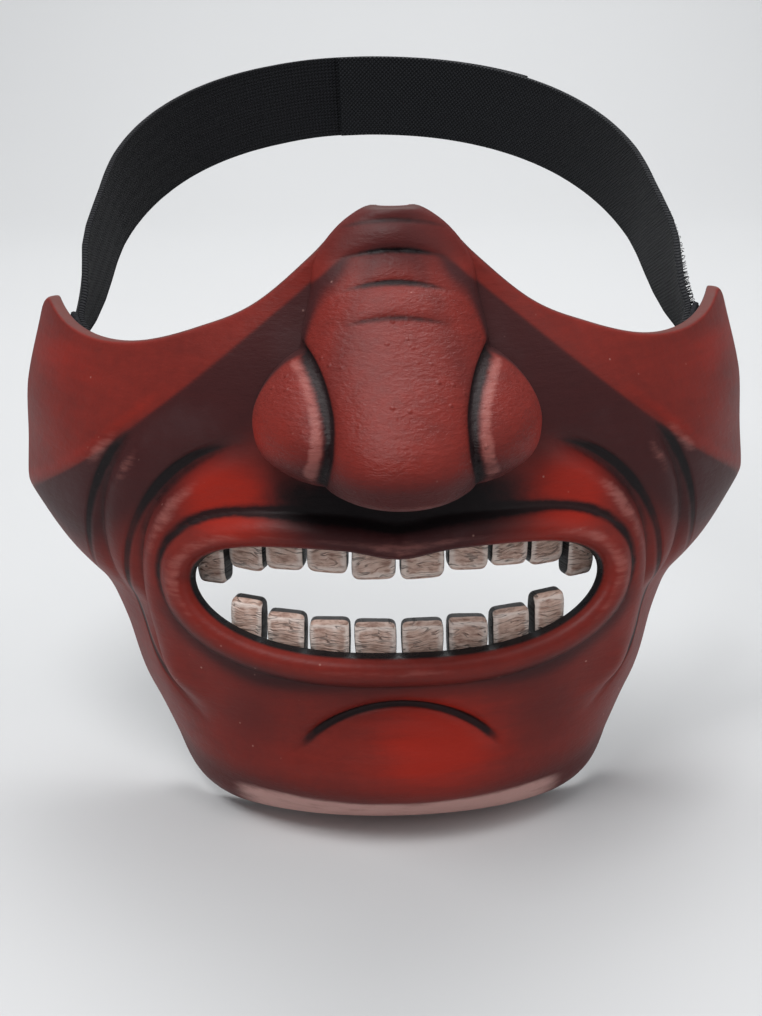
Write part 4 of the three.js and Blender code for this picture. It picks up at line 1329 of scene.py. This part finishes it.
class GUARD_OT_strap(bpy.types.Operator):
    """Build the woven strap, the hook tape and its hooks"""
    bl_idname = "guard.strap"
    bl_label = "Head strap"

    def execute(self, context):
        settings = context.scene.guard_strap
        colors = context.scene.guard_colors
        step = settings.step / MM
        places, outs = head_stations()
        half = lengths(places)[-1] / 2
        size = (STRAP["width"], STRAP["thickness"])
        section = band_section(WEBBING["steps"], WEBBING["selvedge"])
        ramp_end = OVERLAP["start"] - OVERLAP["clear"]

        def lifted(at):
            return (STRAP["thickness"] + GAP) * ramp(at, ramp_end - OVERLAP["ramp"], ramp_end)

        loop = stretch(places, outs, -half, OVERLAP["end"], lifted, step)
        hook = stretch(places, outs, OVERLAP["start"], half, lambda at: 0 * at, step)
        band_piece("strap_loop", loop, size, section, webbing_material(colors))
        tape = hook_material(colors)
        band_piece("strap_hook", hook, size, section, tape)
        piece = new_object("strap_hooks", hooks_mesh(settings, hook, size))
        piece.data.materials.append(tape)
        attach(piece, "root")
        return {"FINISHED"}


class GUARD_OT_stage(bpy.types.Operator):
    """Set up the pale floor, the soft lights and the camera"""
    bl_idname = "guard.stage"
    bl_label = "Studio"

    def execute(self, context):
        scene = context.scene
        settings = scene.guard_stage
        self.floor(settings)
        for name, (place, target, size, power) in LIGHTS.items():
            data = bpy.data.lights.new(name, "AREA")
            data.size, data.energy = size, power
            light = new_object(name, data)
            light.location = place
            aim = Vector(target) - light.location
            light.rotation_euler = aim.to_track_quat("-Z", "Y").to_euler()
        scene.world = bpy.data.worlds.new("studio")
        scene.world.use_nodes = True
        for socket, value in WORLD.items():
            scene.world.node_tree.nodes["Background"].inputs[socket].default_value = value
        scene.view_settings.view_transform = "Standard"
        scene.camera = self.camera(settings)
        return {"FINISHED"}

    def floor(self, settings):
        floor_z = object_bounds()[0].z - FLOOR["clear"]
        radius, start = FLOOR["bend"], FLOOR["bend_y"]
        bend = [(start + radius * math.sin(a), radius - radius * math.cos(a))
                for a in np.linspace(0.1, math.pi / 2, 16)]
        profile = [(FLOOR["front"], 0), (start, 0), *bend, (start + radius, FLOOR["top"])]
        ends = (-FLOOR["half_width"], FLOOR["half_width"])
        points = np.array([(x, y, z + floor_z) for y, z in profile for x in ends])
        faces = [(2 * i, 2 * i + 1, 2 * i + 3, 2 * i + 2) for i in range(len(profile) - 1)]
        mesh = new_mesh("floor", points / MM, faces)
        shade_smooth(mesh)
        floor = new_object("floor", mesh)
        material, place = start_material("floor", Roughness=0.8)
        soft = place.noise(3, 2).over(settings.floor, [c * 0.96 for c in settings.floor])
        shader = material.node_tree.nodes["Principled BSDF"]
        material.node_tree.links.new(soft.socket, shader.inputs["Base Color"])
        floor.data.materials.append(material)
        floor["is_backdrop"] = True

    def camera(self, settings):
        data = bpy.data.cameras.new("camera")
        camera = new_object("camera", data)
        a, e = settings.yaw, settings.elevation
        ahead = Vector((math.sin(a) * math.cos(e), math.cos(a) * math.cos(e), -math.sin(e)))
        camera.location = Vector(CAMERA["target"]) - ahead * settings.distance
        turn = ahead.to_track_quat("-Z", "Y") @ Quaternion((0, 0, 1), -settings.roll)
        camera.rotation_mode = "QUATERNION"
        camera.rotation_quaternion = turn
        data.sensor_width = CAMERA["sensor"]
        data.lens = CAMERA["sensor"] * CAMERA["focal"] / CAMERA["picture"]
        data.shift_x = CAMERA["shift"] / CAMERA["picture"]
        data.clip_start = 0.01
        return camera


class GUARD_PT_panel(bpy.types.Panel):
    """Lists the pieces that can be built"""
    bl_idname = "GUARD_PT_panel"
    bl_label = "Face Guard"
    bl_space_type = "VIEW_3D"
    bl_region_type = "UI"
    bl_category = "Face Guard"

    def draw(self, context):
        for operator in OPERATORS:
            self.layout.operator(operator.bl_idname)


SETTINGS = {
    "guard_colors": GuardColors,
    "guard_shell": GuardShellSettings,
    "guard_strap": GuardStrapSettings,
    "guard_stage": GuardStageSettings,
}
OPERATORS = (GUARD_OT_shell, GUARD_OT_teeth, GUARD_OT_patches, GUARD_OT_strap, GUARD_OT_stage)


def register():
    for cls in (*SETTINGS.values(), *OPERATORS, GUARD_PT_panel):
        bpy.utils.register_class(cls)
    for name, group in SETTINGS.items():
        setattr(bpy.types.Scene, name, bpy.props.PointerProperty(type=group))


def unregister():
    for name in SETTINGS:
        delattr(bpy.types.Scene, name)
    for cls in (GUARD_PT_panel, *OPERATORS[::-1], *SETTINGS.values()):
        bpy.utils.unregister_class(cls)


def main():
    register()
    bpy.ops.guard.shell()
    bpy.ops.guard.teeth()
    bpy.ops.guard.patches()
    bpy.ops.guard.strap()
    bpy.ops.guard.stage()


if __name__ == "__main__":
    main()
